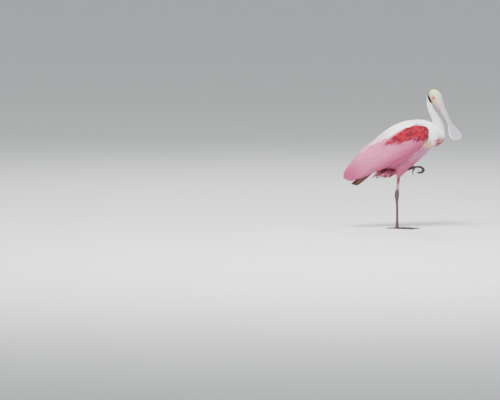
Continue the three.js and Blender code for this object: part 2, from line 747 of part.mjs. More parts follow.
// Materials: the colours of the feathers, bare skin, bill, legs and claws.
const material = (color, roughness) => new THREE.MeshStandardMaterial({ color, roughness, metalness: 0 });
const PINK = material(0xe3a9bb, 0.8);
const WHITE = material(0xf2eeee, 0.85);
const BLUSH = material(0xeac4cc, 0.8);
const ORANGE = material(0xb9552f, 0.7);
const SKIN = material(0xcfd3ae, 0.6);
const HORN = material(0xaaa1a8, 0.5);
const EYE_RED = material(0x8c1a12, 0.15);
const LEG_RED = material(0xb55b6c, 0.5);
const FOOT_DARK = material(0x4a3a40, 0.6);
const CLAW_BLACK = material(0x1e1a1c, 0.4);

const spoonbill = new THREE.Group();
const add = (name, made, finish) => spoonbill.add(piece(name, made, finish));

// The soft body is joined whole and then parted: neck in two, and neck from torso.
const NECK_CUT = [V(135.5, 0, 404), V(0.48, 0, -0.88)];
const BREAST_CUT = [body(126, 0, -20), ALONG];
const trunk = joined([torsoCore(), neckCore()]);
const fore = ahead(trunk, ...BREAST_CUT);
const plumes = [...scapulars(LEFT), ...scapulars(RIGHT), ...ventPlumes()];
const legRoom = joined([
  length(STANDING.thigh, 7, 14, GAP),
  length(RAISED.thigh, 7, 14, GAP),
  length(RAISED.shank, 9, 12, GAP),
  length(RAISED.tarsus, 10, 12, GAP),
]).subtract(torsoCore());
const torso = ahead(behind(joined([trunk, ...plumes]), ...BREAST_CUT), TAIL_CUT, ALONG).subtract(legRoom);
const neckUpper = behind(fore, ...NECK_CUT).subtract(skullSolid(GAP).transform(HEAD_FRAME.elements));
const neckLower = ahead(ahead(joined([fore, ...breastTuft()]), ...NECK_CUT), ...BREAST_CUT);
const skull = head().transform(HEAD_FRAME.elements).subtract(billRoom().transform(BILL_FRAME.elements));

add("head", skull, SKIN);
add("upper_bill", billHalf(true).transform(BILL_FRAME.elements), HORN);
add("lower_bill", billHalf(false).transform(BILL_FRAME.elements), HORN);
add("neck_upper", neckUpper, WHITE);
add("neck_lower", neckLower, WHITE);
add("torso", torso, BLUSH);
add("tail", tail(), ORANGE);
const feet = { right: standingFoot(), left: raisedFoot() };
for (const [side, word, parts] of [[LEFT, "left", leg(RAISED)], [RIGHT, "right", leg(STANDING)]]) {
  const eye = ball(V(EYE.at.x, side * EYE.at.y, EYE.at.z), EYE.radius, 14, 10);
  add(`eye_${word}`, eye.transform(HEAD_FRAME.elements), EYE_RED);
  add(`wing_${word}`, wing(side), PINK);
  add(`thigh_${word}`, parts.thigh, BLUSH);
  add(`shank_${word}`, parts.shank, LEG_RED);
  add(`tarsus_${word}`, parts.tarsus, LEG_RED);
  add(`foot_${word}`, feet[word].foot, FOOT_DARK);
  for (const { name, made } of feet[word].claws) add(name, made, CLAW_BLACK);
}

export default spoonbill;
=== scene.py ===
# %% [markdown]
# # A roseate spoonbill, feather by feather
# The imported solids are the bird's skeleton of sizes: where the head, wings, tail and legs are, and how far
# they reach. This script dresses them. It grows one skin over the soft body, covers that with small feathers
# by Geometry Nodes, lays the wing and tail feathers in tiers as a real wing has them, and finishes the bare
# head, the bill, the eyes and the legs. The scene is in metres, and the bird faces +X and stands on z = 0.
# Shapes are worked out in millimetres, and make_piece turns them into metres.

# %% Load the frame
import math

import bmesh
import bpy
import numpy as np
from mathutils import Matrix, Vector


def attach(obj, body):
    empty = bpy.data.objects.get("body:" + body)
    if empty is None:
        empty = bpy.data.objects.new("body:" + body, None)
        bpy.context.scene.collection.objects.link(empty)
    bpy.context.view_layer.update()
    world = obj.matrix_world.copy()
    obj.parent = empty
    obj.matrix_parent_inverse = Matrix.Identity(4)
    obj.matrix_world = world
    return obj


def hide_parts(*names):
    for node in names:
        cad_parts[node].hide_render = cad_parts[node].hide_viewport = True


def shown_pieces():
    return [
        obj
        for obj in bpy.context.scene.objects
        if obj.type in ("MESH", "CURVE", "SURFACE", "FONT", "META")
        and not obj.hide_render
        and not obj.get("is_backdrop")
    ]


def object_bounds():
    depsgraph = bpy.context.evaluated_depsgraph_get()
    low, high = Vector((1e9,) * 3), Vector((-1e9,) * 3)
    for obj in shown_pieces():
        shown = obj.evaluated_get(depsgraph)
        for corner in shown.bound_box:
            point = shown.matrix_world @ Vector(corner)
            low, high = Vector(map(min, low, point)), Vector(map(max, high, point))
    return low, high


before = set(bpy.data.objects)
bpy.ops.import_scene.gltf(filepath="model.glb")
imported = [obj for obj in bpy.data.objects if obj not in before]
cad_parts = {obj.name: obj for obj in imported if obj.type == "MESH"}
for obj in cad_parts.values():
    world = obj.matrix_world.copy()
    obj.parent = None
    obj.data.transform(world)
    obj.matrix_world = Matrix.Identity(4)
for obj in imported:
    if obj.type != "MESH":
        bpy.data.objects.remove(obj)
cad_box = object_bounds()
print("solids", len(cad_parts), "box", [[round(v, 3) for v in corner] for corner in cad_box])

# %% [markdown]
# ## Camera, light and floor
# The photograph was taken with a long lens from a little above the water, so the camera stands 20 m away,
# 4.5 degrees up, with a lens narrow enough to make 3.6 mm of bird fill one pixel of a 500 pixel wide picture.
# The bird stands right of the middle, and so the camera looks past it. A large soft light from above and in
# front gives the bright back and breast, and a weaker one from the other side opens the shadows.

# %% Camera
PHOTO_WIDTH, PHOTO_HEIGHT = 500, 400
METRES_PER_PIXEL = 0.0036
CAMERA_AWAY = 19.8
CAMERA_RISE = math.radians(4.5)
FOOT_PIXEL = (397, 229)  # where the standing foot's middle lies in the picture

camera = bpy.data.objects.new("camera", bpy.data.cameras.new("camera"))
bpy.context.scene.collection.objects.link(camera)
bpy.context.scene.camera = camera
camera.data.sensor_width = 36
camera.data.lens = 36 * CAMERA_AWAY / (METRES_PER_PIXEL * PHOTO_WIDTH)
camera.data.clip_end = 100
aim = Vector((
    (PHOTO_WIDTH / 2 - FOOT_PIXEL[0]) * METRES_PER_PIXEL,
    0,
    (FOOT_PIXEL[1] - PHOTO_HEIGHT / 2) * METRES_PER_PIXEL,
))
back_to_camera = Vector((0, -math.cos(CAMERA_RISE), math.sin(CAMERA_RISE)))
camera.location = aim + CAMERA_AWAY * back_to_camera
camera.rotation_euler = (math.pi / 2 - CAMERA_RISE, 0, 0)
print("lens", round(camera.data.lens), "mm, camera at", [round(v, 2) for v in camera.location])


# %% [markdown]
# Soft square lamps stand in for a bright hazy sky, because feathers look hard under a small lamp.

# %% Lights and floor
def soft_light(name, place, power, size, colour):
    """A square studio light that faces the bird."""
    lamp = bpy.data.objects.new(name, bpy.data.lights.new(name, "AREA"))
    lamp.data.energy, lamp.data.size, lamp.data.color = power, size, colour
    lamp.location = place
    lamp.rotation_euler = (Vector((0, 0, 0.3)) - Vector(place)).to_track_quat("-Z", "Y").to_euler()
    bpy.context.scene.collection.objects.link(lamp)


soft_light("key_light", (-0.5, -2.0, 3.2), 310, 1.3, (1.0, 0.985, 0.96))
soft_light("side_light", (2.6, -1.6, 1.6), 52, 1.8, (0.94, 0.97, 1.0))
soft_light("back_light", (-0.6, 2.4, 2.6), 60, 1.6, (1.0, 0.99, 0.97))
world = bpy.data.worlds.new("studio")
world.use_nodes = True
world.node_tree.nodes["Background"].inputs["Color"].default_value = (0.80, 0.83, 0.85, 1)
world.node_tree.nodes["Background"].inputs["Strength"].default_value = 0.7
bpy.context.scene.world = world

floor_mesh = bpy.data.meshes.new("floor")
floor_mesh.from_pydata([(-30, -30, 0), (30, -30, 0), (30, 30, 0), (-30, 30, 0)], [], [(0, 1, 2, 3)])
floor = bpy.data.objects.new("floor", floor_mesh)
bpy.context.scene.collection.objects.link(floor)
floor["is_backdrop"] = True
print("three lights, a pale world and a floor")

# %% [markdown]
# ## A small language for nodes
# Materials and Geometry Nodes are graphs, and a graph is hard to read as a list of links. Here a wrapped
# socket takes Python's operators, so that `1 - mask` adds its own Math node, and one method adds any other
# node from its type, its settings and the values or links of its inputs.


# %% Sockets that take operators
class Value:
    """One socket of a node tree, on which arithmetic adds Math nodes."""

    def __init__(self, tree, socket):
        self.tree, self.socket = tree, socket

    def maths(self, operation, *values):
        return self.tree.add("ShaderNodeMath", {"operation": operation}, dict(enumerate(values)))

    def __add__(self, other):
        return self.maths("ADD", self, other)

    def __sub__(self, other):
        return self.maths("SUBTRACT", self, other)

    def __rsub__(self, other):
        return self.maths("SUBTRACT", other, self)

    def __mul__(self, other):
        return self.maths("MULTIPLY", self, other)

    def __truediv__(self, other):
        return self.maths("DIVIDE", self, other)

    def __pow__(self, other):
        return self.maths("POWER", self, other)

    __radd__ = __add__
    __rmul__ = __mul__

    def absolute(self):
        return self.maths("ABSOLUTE", self)

    def sine(self):
        return self.maths("SINE", self)

    def between(self, low, high):
        """0 below low, 1 above high and smooth between them; the other way round where low is above high."""
        eased = {"interpolation_type": "SMOOTHSTEP", "clamp": True}
        return self.tree.add("ShaderNodeMapRange", eased, {"Value": self, "From Min": low, "From Max": high})


MIX_INPUTS = 0, 6, 7  # a Mix node's factor and its two colours, when it mixes colours


class Tree:
    """A node tree that nodes are added to by type, settings and inputs."""

    def __init__(self, nodes):
        self.nodes = nodes

    def add(self, kind, settings=None, inputs=None, out=0):
        node = self.nodes.nodes.new(kind)
        for name, setting in (settings or {}).items():
            setattr(node, name, setting)
        for name, value in (inputs or {}).items():
            socket = node.inputs[name]
            if isinstance(value, Value):
                self.nodes.links.new(value.socket, socket)
            else:
                socket.default_value = value
        return Value(self, [o for o in node.outputs if o.enabled][out])

    def mix(self, share, first, second):
        """A colour between two colours."""
        node = self.nodes.nodes.new("ShaderNodeMix")
        node.data_type, node.clamp_factor = "RGBA", True
        for socket, value in zip((node.inputs[k] for k in MIX_INPUTS), (share, first, second)):
            if isinstance(value, Value):
                self.nodes.links.new(value.socket, socket)
            else:
                socket.default_value = value
        return Value(self, node.outputs[2])

    def parts(self, vector):
        """The three numbers of a vector."""
        made = self.add("ShaderNodeSeparateXYZ", {}, {"Vector": vector})
        return [Value(self, made.socket.node.outputs[k]) for k in range(3)]

    def attribute(self, name, out=1):
        """A named attribute of the mesh: out is 0 for colour, 1 for a vector and 2 for a number."""
        return self.add("ShaderNodeAttribute", {"attribute_name": name}, {}, out)

    def noise(self, at, scale, detail=3.0, roughness=0.55, stretch=None):
        """Smooth random numbers from 0 to 1 over a place, in grains about 1 / scale wide."""
        if stretch:
            at = self.add("ShaderNodeMapping", {}, {"Vector": at, "Scale": stretch})
        sizes = {"Vector": at, "Scale": scale, "Detail": detail, "Roughness": roughness}
        return self.add("ShaderNodeTexNoise", {"noise_dimensions": "3D"}, sizes)


def colour(red, green, blue):
    """A colour given in the 0 to 255 that a picture shows, as the linear light that a shader takes."""
    shown = [channel / 255 for channel in (red, green, blue)]
    return tuple(c / 12.92 if c <= 0.04045 else ((c + 0.055) / 1.055) ** 2.4 for c in shown) + (1.0,)


def finish(name, look, roughness=0.6, sheen=0.0, coat=0.0, specular=0.5):
    """A material: look(tree) gives its colour, and perhaps its roughness, or a height and depth of bump."""
    made = bpy.data.materials.new(name)
    made.use_nodes = True
    tree = Tree(made.node_tree)
    shader = made.node_tree.nodes["Principled BSDF"]
    shader.inputs["Roughness"].default_value = roughness
    shader.inputs["Sheen Weight"].default_value = sheen
    shader.inputs["Coat Weight"].default_value = coat
    shader.inputs["Specular IOR Level"].default_value = specular
    painted = look(tree)
    made.node_tree.links.new(painted["colour"].socket, shader.inputs["Base Color"])
    if "rough" in painted:
        made.node_tree.links.new(painted["rough"].socket, shader.inputs["Roughness"])
    if "height" in painted:
        bump = tree.add("ShaderNodeBump", {}, {"Height": painted["height"], "Distance": painted["depth"]})
        made.node_tree.links.new(bump.socket, shader.inputs["Normal"])
    return made


OBJECT_OUTPUT = 3  # of a Texture Coordinate node


def object_at(tree):
    """A place on the piece, in metres."""
    return tree.add("ShaderNodeTexCoord", {}, {}, OBJECT_OUTPUT)


def floor_look(tree):
    """A pale grey, a little uneven."""
    cloud = tree.noise(object_at(tree), 6.0)
    return {"colour": tree.mix(cloud, (0.74, 0.75, 0.75, 1), (0.78, 0.79, 0.79, 1))}


floor_mesh.materials.append(finish("floor_finish", floor_look, roughness=0.85))
print("floor finished")

# %% [markdown]
# ## The bird's own frame
# The back slopes 31 degrees, so sizes along the body are easier to give in a frame of its own: s runs forward
# along the back, t is square to it, y is the bird's left. The torso and the surface that the folded wings lie
# on are given by their top, bottom and half width along s, in millimetres, as the solids are.

# %% Curves and surfaces of the body
MM = 0.001
BODY_TILT = math.radians(31)
BODY_HEIGHT = 300
ALONG = np.array([math.cos(BODY_TILT), 0, math.sin(BODY_TILT)])
RISE = np.array([-math.sin(BODY_TILT), 0, math.cos(BODY_TILT)])
ACROSS = np.array([0.0, 1.0, 0.0])


def smooth(knots):
    """A smooth curve through knots [position, value, ...]: a function of position, on numbers or arrays."""
    knots = np.array(knots, float)
    x, y = knots[:, 0], knots[:, 1:]
    before, after = np.maximum(np.arange(len(x)) - 1, 0), np.minimum(np.arange(len(x)) + 1, len(x) - 1)
    slope = (y[after] - y[before]) / (x[after] - x[before])[:, None]

    def at(place):
        place = np.clip(np.asarray(place, float), x[0], x[-1])
        i = np.clip(np.searchsorted(x, place, side="right") - 1, 0, len(x) - 2)
        span = (x[i + 1] - x[i])[..., None]
        u = ((place - x[i])[..., None]) / span
        ease = u * u * (3 - 2 * u)
        out = u * (1 - u) ** 2 * span * slope[i]
        into = u * u * (u - 1) * span * slope[i + 1]
        return y[i] * (1 - ease) + y[i + 1] * ease + out + into

    return at


def body(s, y, t):
    """A place in the body's frame, in millimetres, as a place in the picture's frame, in millimetres."""
    s, y, t = np.broadcast_arrays(np.asarray(s, float), np.asarray(y, float), np.asarray(t, float))
    return s[..., None] * ALONG + y[..., None] * ACROSS + t[..., None] * RISE + np.array([0, 0, BODY_HEIGHT])


TORSO = smooth([
    [-112, -16, -34, 8], [-98, 4, -44, 14], [-75, 32, -58, 25], [-45, 54, -80, 38], [0, 66, -93, 47],
    [40, 66, -87, 50], [80, 58, -78, 49], [110, 45, -71, 45], [135, 27, -70, 39], [155, 2, -67, 31],
    [168, -20, -57, 20],
])
FOLDED_WING = smooth([
    [-235, 8, -50, 8], [-205, 22, -62, 13], [-170, 34, -74, 20], [-140, 43, -82, 27], [-105, 52, -90, 35],
    [-60, 62, -100, 46], [0, 67, -106, 51], [45, 67, -100, 53], [85, 60, -90, 52], [112, 47, -80, 48],
    [135, 32, -76, 42],
])
BACK = smooth([
    [-170, 30, -50, 22], [-140, 41, -60, 29], [-112, 48, -68, 34], [-80, 55, -76, 38], [-45, 62, -84, 42],
    [0, 67, -93, 47], [40, 66, -87, 50], [80, 58, -78, 49], [110, 45, -71, 45], [135, 27, -70, 39],
    [160, -6, -64, 28],
])


def shell_point(shell, side, s, angle, lift):
    """A place lift above a body surface: angle is 0 on the back and 180 degrees under the belly."""
    top, bottom, half = np.moveaxis(shell(s), -1, 0)
    middle, tall = (top + bottom) / 2, (top - bottom) / 2
    return body(s, side * (half + lift) * np.sin(angle), middle + (tall + lift) * np.cos(angle))


def shell_angle(shell, s, t):
    """The angle at which a body surface reaches height t."""
    top, bottom, _ = np.moveaxis(shell(s), -1, 0)
    return np.arccos(np.clip((2 * t - top - bottom) / (top - bottom), -0.99, 0.99))


print("torso is", round(float(2 * TORSO(40)[2])), "mm wide at the shoulders")


# %% [markdown]
# Thousands of feathers would be slow to make with operators. Here a shape is an array of rings of points, and
# one function joins the rings into a closed body. A limb, a toe, a vane and half a bill are all tubes of this
# kind, so that no mesh is open and every face can be turned outwards.

# %% Meshes from arrays
def hold(mesh, key, values):
    """Keeps numbers or vectors on the points of a mesh, as an attribute."""
    values = np.asarray(values, np.float32)
    kind, field = ("FLOAT", "value") if values.ndim == 1 else ("FLOAT_VECTOR", "vector")
    mesh.attributes.new(key, kind, "POINT").data.foreach_set(field, values.ravel())


def make_piece(name, points, faces, attributes=None, maps=None):
    """A mesh object from points in millimetres, faces, attributes of its points and maps of its corners."""
    mesh = bpy.data.meshes.new(name)
    mesh.from_pydata((np.asarray(points) * MM).tolist(), [], [tuple(int(i) for i in f) for f in faces])
    corner_points = np.empty(len(mesh.loops), np.int32)
    mesh.loops.foreach_get("vertex_index", corner_points)
    for key, values in (attributes or {}).items():
        hold(mesh, key, values)
    for key, values in (maps or {}).items():
        layer = mesh.uv_layers.new(name=key)
        layer.uv.foreach_set("vector", np.asarray(values, np.float32)[corner_points].ravel())
    mesh.shade_smooth()
    mesh.validate()
    made = bpy.data.objects.new(name, mesh)
    bpy.context.scene.collection.objects.link(made)
    return made


def grid_faces(rows, columns, start=0, closed=False):
    """The quads of a grid of points, row by row, joined round where it is closed."""
    across = columns if closed else columns - 1
    r, c = np.meshgrid(np.arange(rows - 1), np.arange(across), indexing="ij")
    after = (c + 1) % columns
    here, there = r * columns, (r + 1) * columns
    quads = np.stack([here + c, here + after, there + after, there + c], -1)
    return (quads.reshape(-1, 4) + start).tolist()


def tube(rings, start=0):
    """Points and faces of a closed body through rings of points, with a point at the middle of each end."""
    rings = np.asarray(rings)
    rows, columns = rings.shape[:2]
    points = np.concatenate([rings.reshape(-1, 3), rings[0].mean(0)[None], rings[-1].mean(0)[None]])
    faces = grid_faces(rows, columns, start, closed=True)
    first, last = start + rows * columns, start + rows * columns + 1
    for k in range(columns):
        after = (k + 1) % columns
        faces.append((first, start + after, start + k))
        base = start + (rows - 1) * columns
        faces.append((last, base + k, base + after))
    return points, faces


def turned_out(made):
    """The same object with its faces turned outwards."""
    shape = bmesh.new()
    shape.from_mesh(made.data)
    bmesh.ops.recalc_face_normals(shape, faces=shape.faces)
    shape.to_mesh(made.data)
    shape.free()
    return made


def limb_rings(path, sizes, rows, columns, across=ACROSS):
    """Rings along a smooth path, with half widths across it and along its depth at each point."""
    path, sizes = np.asarray(path, float), np.asarray(sizes, float)
    steps = np.concatenate([[0], np.cumsum(np.sqrt(np.linalg.norm(np.diff(path, axis=0), axis=1)))])
    steps /= steps[-1]
    place, size = smooth(np.column_stack([steps, path])), smooth(np.column_stack([steps, sizes]))
    u = np.linspace(0, 1, rows)
    centre, width = place(u), size(u)
    tangent = place(np.minimum(u + 1e-3, 1)) - place(np.maximum(u - 1e-3, 0))
    tangent /= np.linalg.norm(tangent, axis=1)[:, None]
    up = np.cross(tangent, across)
    up /= np.linalg.norm(up, axis=1)[:, None]
    level = np.cross(up, tangent)
    turn = np.linspace(0, 2 * math.pi, columns, endpoint=False)
    around = np.sin(turn)[None, :, None] * level[:, None] * width[:, None, :1]
    return centre[:, None] + around + np.cos(turn)[None, :, None] * up[:, None] * width[:, None, 1:2]


print("mesh helpers ready")

# %% [markdown]
# ## One skin for the soft body
# A real bird has one skin from the neck to the thighs, and a seam between lengths would show. The torso, neck
# and thighs are lofted a little smaller than the solids, joined by a voxel remesh, which fuses them into one
# closed surface, and smoothed. The feathers stand over it, so it is inside the solids by their depth.

# %% Head frame
HEAD_TURN = math.radians(49)
HEAD_PITCH = math.radians(45)
BILL_PITCH = math.radians(53)
HEAD_AT = np.array([138.0, -12.0, 477.0])


def turned(pitch):
    """The forward, left and up directions of something turned as the head is and pitched down."""
    c, s, ct, st = math.cos(pitch), math.sin(pitch), math.cos(HEAD_TURN), math.sin(HEAD_TURN)
    return np.array([[c * ct, -c * st, -s], [st, ct, 0], [s * ct, -s * st, c]])


HEAD_AXES, BILL_AXES = turned(HEAD_PITCH), turned(BILL_PITCH)


def head_place(local):
    """A place in the head's frame (forward, left, up from its middle), in the picture's frame."""
    return HEAD_AT + np.asarray(local, float) @ HEAD_AXES


BILL_ROOT = head_place([25, 0, -1])
BAND_AT, BAND_REACH = np.array([138.0, -8.0, 478.0]), 31.5  # black skin round the back of the head


def bill_place(local):
    """A place in the bill's frame (forward, left, up from its root), in the picture's frame."""
    return BILL_ROOT + np.asarray(local, float) @ BILL_AXES


SKULL = smooth([
    [-31, 1, -3, 3], [-28, 9, -8, 11], [-21, 15, -13.5, 16.5], [-11, 19.5, -18, 20], [0, 21.5, -20.5, 21],
    [12, 20.2, -20.5, 20], [22, 16.5, -19, 17.5], [30, 13, -17, 15.8],
])
EYE_AT, EYE_RADIUS = np.array([8.8, 15.5, 5.0]), 5.6
NECK = np.array([
    [127, 0, 490, 10], [117.5, 3, 474, 11.2], [115.5, 3, 456, 11], [118.5, 2, 440, 11.8], [124, 1, 426, 12.6],
    [132, 0, 411, 14.5], [140, 0, 396, 16.5], [146.5, 0, 380, 19], [149, 0, 362, 22], [146, 0, 345, 26],
    [134, 0, 331, 29], [116, 0, 322, 26],
])
THIGHS = {
    "right": np.array([[24, -24, 252, 17, 28], [17, -23, 226, 17, 24], [10, -20, 207, 14, 17],
                       [6, -15.5, 194, 9, 10.5], [5, -13.2, 186, 6.0, 6.8]]),
    "left": np.array([[64, 20, 278, 16, 20], [36, 27, 246, 15, 22], [8, 30, 225, 12, 15],
                      [-12, 31.5, 213, 8.2, 9], [-20, 32, 208, 6, 6.4]]),
}
COAT_DEPTH = 2.6
THIN_COAT = 1.6  # on the thighs


def skin_lofts():
    """Closed lofts of the torso, neck and thighs, a coat's depth inside the solids."""
    s = np.linspace(-112, 168, 48)
    top, bottom, half = (TORSO(s) - np.array([COAT_DEPTH, -COAT_DEPTH, COAT_DEPTH])).T
    turn = np.linspace(0, 2 * math.pi, 40, endpoint=False)
    up = np.cos(turn)[None] * ((top - bottom) / 2)[:, None]
    yield body(s[:, None], np.sin(turn)[None] * half[:, None], ((top + bottom) / 2)[:, None] + up)
    around = NECK[:, 3:4] - COAT_DEPTH * 0.7
    yield limb_rings(NECK[:, :3], np.hstack([around, around]), 60, 36)
    for thigh in THIGHS.values():
        yield limb_rings(thigh[:, :3], thigh[:, 3:] - THIN_COAT, 40, 28)


def fused_piece(name, lofts, voxel, rounds):
    """One skin over several closed lofts: fused on a grid of voxels and smoothed for some rounds."""
    points, faces = [], []
    for rings in lofts:
        loft_points, loft_faces = tube(rings, start=sum(len(p) for p in points))
        points.append(loft_points)
        faces += loft_faces
    made = turned_out(make_piece(name, np.concatenate(points), faces))
    fuse = made.modifiers.new("fuse", "REMESH")
    fuse.mode, fuse.voxel_size = "VOXEL", voxel
    soften = made.modifiers.new("soften", "SMOOTH")
    soften.factor, soften.iterations = 0.5, rounds
    mesh = bpy.data.meshes.new_from_object(made.evaluated_get(bpy.context.evaluated_depsgraph_get()))
    made.modifiers.clear()
    made.data = mesh
    mesh.shade_smooth()
    print(name, "has", len(mesh.vertices), "points and", len(mesh.polygons), "faces")
    return made


skin = fused_piece("skin", skin_lofts(), 0.0022, 8)
fused = skin.data

# %% [markdown]
# ## How the feathers lie
# Feathers point away from the bill: down the neck, back along the body, and down the thighs. Each point of
# the skin takes its direction from the nearest guides, and keeps its feather's size, its place on an unwrap
# of the skin, and how much of each coat grows there. Geometry Nodes read these as attributes.


# %% Attributes of the skin
def skin_fields(points_mm, normals):
    """For each point: the coats' shares, the lie, the feather's size and the place on the unwrap."""
    guides, lies, kinds, sizes, reach = [], [], [], [], []
    neck_u = np.linspace(0, 1, 40)
    neck_at = smooth(np.column_stack([np.linspace(0, 1, len(NECK)), NECK]))(neck_u)
    guides.append(neck_at[:, :3])
    lies.append(np.gradient(neck_at[:, :3], axis=0))
    kinds += [0] * 40
    sizes.append(np.interp(neck_u, [0, 0.35, 0.7, 1], [4.5, 6.5, 9, 11]))
    reach.append(neck_at[:, 3])
    s = np.linspace(-105, 160, 50)
    top, bottom, half = TORSO(s).T
    for share in (0.3, 0.7):
        guides.append(body(s, 0 * s, bottom + share * (top - bottom)))
        down = np.interp(s, [-105, 0, 160], [0.1, 0.2, 0.75]) * (1 if share < 0.5 else 0.35)
        lies.append(-ALONG[None] - down[:, None] * RISE[None])
        kinds += [1] * 50
        sizes.append(np.full(50, 12.5))
        reach.append(half * 0.9)
    for thigh in THIGHS.values():
        at = smooth(np.column_stack([np.linspace(0, 1, len(thigh)), thigh]))(np.linspace(0.15, 1, 16))
        guides.append(at[:, :3])
        lies.append(np.gradient(at[:, :3], axis=0))
        kinds += [2] * 16
        sizes.append(np.linspace(12, 7, 16))
        reach.append(at[:, 3])
    guides, lies, sizes = np.concatenate(guides), np.concatenate(lies), np.concatenate(sizes)
    kinds, reach = np.array(kinds), np.concatenate(reach)
    lies /= np.linalg.norm(lies, axis=1)[:, None]
    away = np.linalg.norm(points_mm[:, None] - guides[None], axis=2)
    weight = 1 / (np.maximum(away - reach[None], 0) + 3.0) ** 5
    weight /= weight.sum(1)[:, None]
    lie = weight @ lies
    lie -= (lie * normals).sum(1)[:, None] * normals
    lie /= np.maximum(np.linalg.norm(lie, axis=1), 1e-6)[:, None]
    shares = [weight[:, kinds == kind].sum(1) for kind in range(3)]
    nearest = away[:, :40].argmin(1)
    return shares, lie, weight @ sizes, neck_u[nearest], neck_at[nearest]


count = len(fused.vertices)
places, normals = np.empty(count * 3), np.empty(count * 3)
fused.vertices.foreach_get("co", places)
fused.vertices.foreach_get("normal", normals)
places, normals = places.reshape(-1, 3) / MM, normals.reshape(-1, 3)
(neck_share, body_share, thigh_share), lie, feather_size, neck_u, neck_at = skin_fields(places, normals)
from_body = places - np.array([0, 0, BODY_HEIGHT])
along, over = from_body @ ALONG, from_body @ RISE

WING_TOP = smooth([[-112, 49], [-44, 45], [-13, 42], [60, 38], [119, 20], [130, 4]])
WING_LOW = smooth([[-112, -39], [-84, -41], [-50, -51], [-31, -54], [5, -59], [35, -57], [65, -47], [86, -33],
                   [110, -23], [128, -2]])
strongest = np.maximum(np.maximum(neck_share, body_share), thigh_share)
neck_share, body_share, thigh_share = (np.where(share >= strongest, 1.0, 0.0)
                                       for share in (neck_share, body_share, thigh_share))
under_wing = (along < 118) & (over < WING_TOP(along)[:, 0] - 9) & (over > WING_LOW(along)[:, 0] + 9)
under_wing &= np.abs(places[:, 1]) > 12
open_skin = np.where(under_wing, 0.0, 1.0)

in_torso = np.arctan2(places[:, 1], over - (TORSO(along)[:, 0] + TORSO(along)[:, 1]) / 2)
around_neck = np.arctan2(places[:, 1] - neck_at[:, 1], places[:, 0] - neck_at[:, 0])


def on_unwrap(turn, height):
    """Places on the skin's unwrap, from the angle round the body and the height on the map."""
    return np.column_stack([0.02 + 0.96 * (turn / math.tau + 0.5), height, 0 * height])


torso_unwrap = on_unwrap(in_torso, 0.02 + 0.6 * (along + 115) / 290)
neck_unwrap = on_unwrap(around_neck, 0.66 + 0.3 * neck_u)
unwrap = np.where((neck_share > 0.5)[:, None], neck_unwrap, torso_unwrap)


NECK_BASE_FROM = 0.55  # the share along the neck where its lower coat begins
BREAST_FROM = 72  # the s where the breast's coat takes over from the belly's
bare_band = np.linalg.norm(places - BAND_AT, axis=1) < BAND_REACH
open_skin = np.where(bare_band, 0.0, open_skin)
for key, values in {
    "neck_high": neck_share * open_skin * (neck_u < NECK_BASE_FROM),
    "neck_low": neck_share * open_skin * (neck_u >= NECK_BASE_FROM),
    "front_share": body_share * open_skin * (along > BREAST_FROM),
    "rear_share": body_share * open_skin * (along <= BREAST_FROM),
    "thigh_share": thigh_share * open_skin,
    "lie": lie,
    "feather_size": feather_size * MM,
    "unwrap": unwrap,
    "root": places * MM,
    # the skin counts as a feather's root, so it takes the same painted shade
    "along": 0 * along,
    "shade": 0 * along + 0.5,
}.items():
    hold(fused, key, values)
print("points that carry feathers", int(open_skin.sum()))

# %% [markdown]
# ## The colours of the plumage
# One set of markings colours the skin and every small feather, read at each feather's root, so that a
# feather has one colour and the coat and the skin agree. White covers the neck and the front of the back. It
# turns pale lilac-pink towards the rump, pink on the belly and thighs, salmon in front of the thigh, and
# buff yellow beside the breast, where the wing begins. Over these, painted shade darkens each feather
# towards its root, under the feather above, and the skin as much as a root.


# %% Plumage colours
def patch(s, t, centre, size, edge=0.35):
    """A soft round patch in the side view: 1 inside and 0 outside."""
    away = (((s - centre[0]) / size[0]) ** 2 + ((t - centre[1]) / size[1]) ** 2) ** 0.5
    return away.between(1 + edge, 1 - edge)


def body_coordinates(tree, place):
    """s, y and t of a place, in millimetres, for use in a material."""
    x, y, z = tree.parts(place)
    s = x * (1000 * ALONG[0]) + z * (1000 * ALONG[2]) - BODY_HEIGHT * ALONG[2]
    t = x * (1000 * RISE[0]) + z * (1000 * RISE[2]) - BODY_HEIGHT * RISE[2]
    return s, y * 1000, t


WHITE = colour(252, 251, 252)
SHADED_WHITE = colour(236, 230, 240)
LILAC = colour(200, 116, 162)
BELLY_PINK = colour(180, 110, 146)
THIGH_PINK = colour(176, 70, 108)
SALMON = colour(184, 48, 80)
BUFF = colour(220, 196, 112)
BREAST_PINK = colour(206, 116, 126)


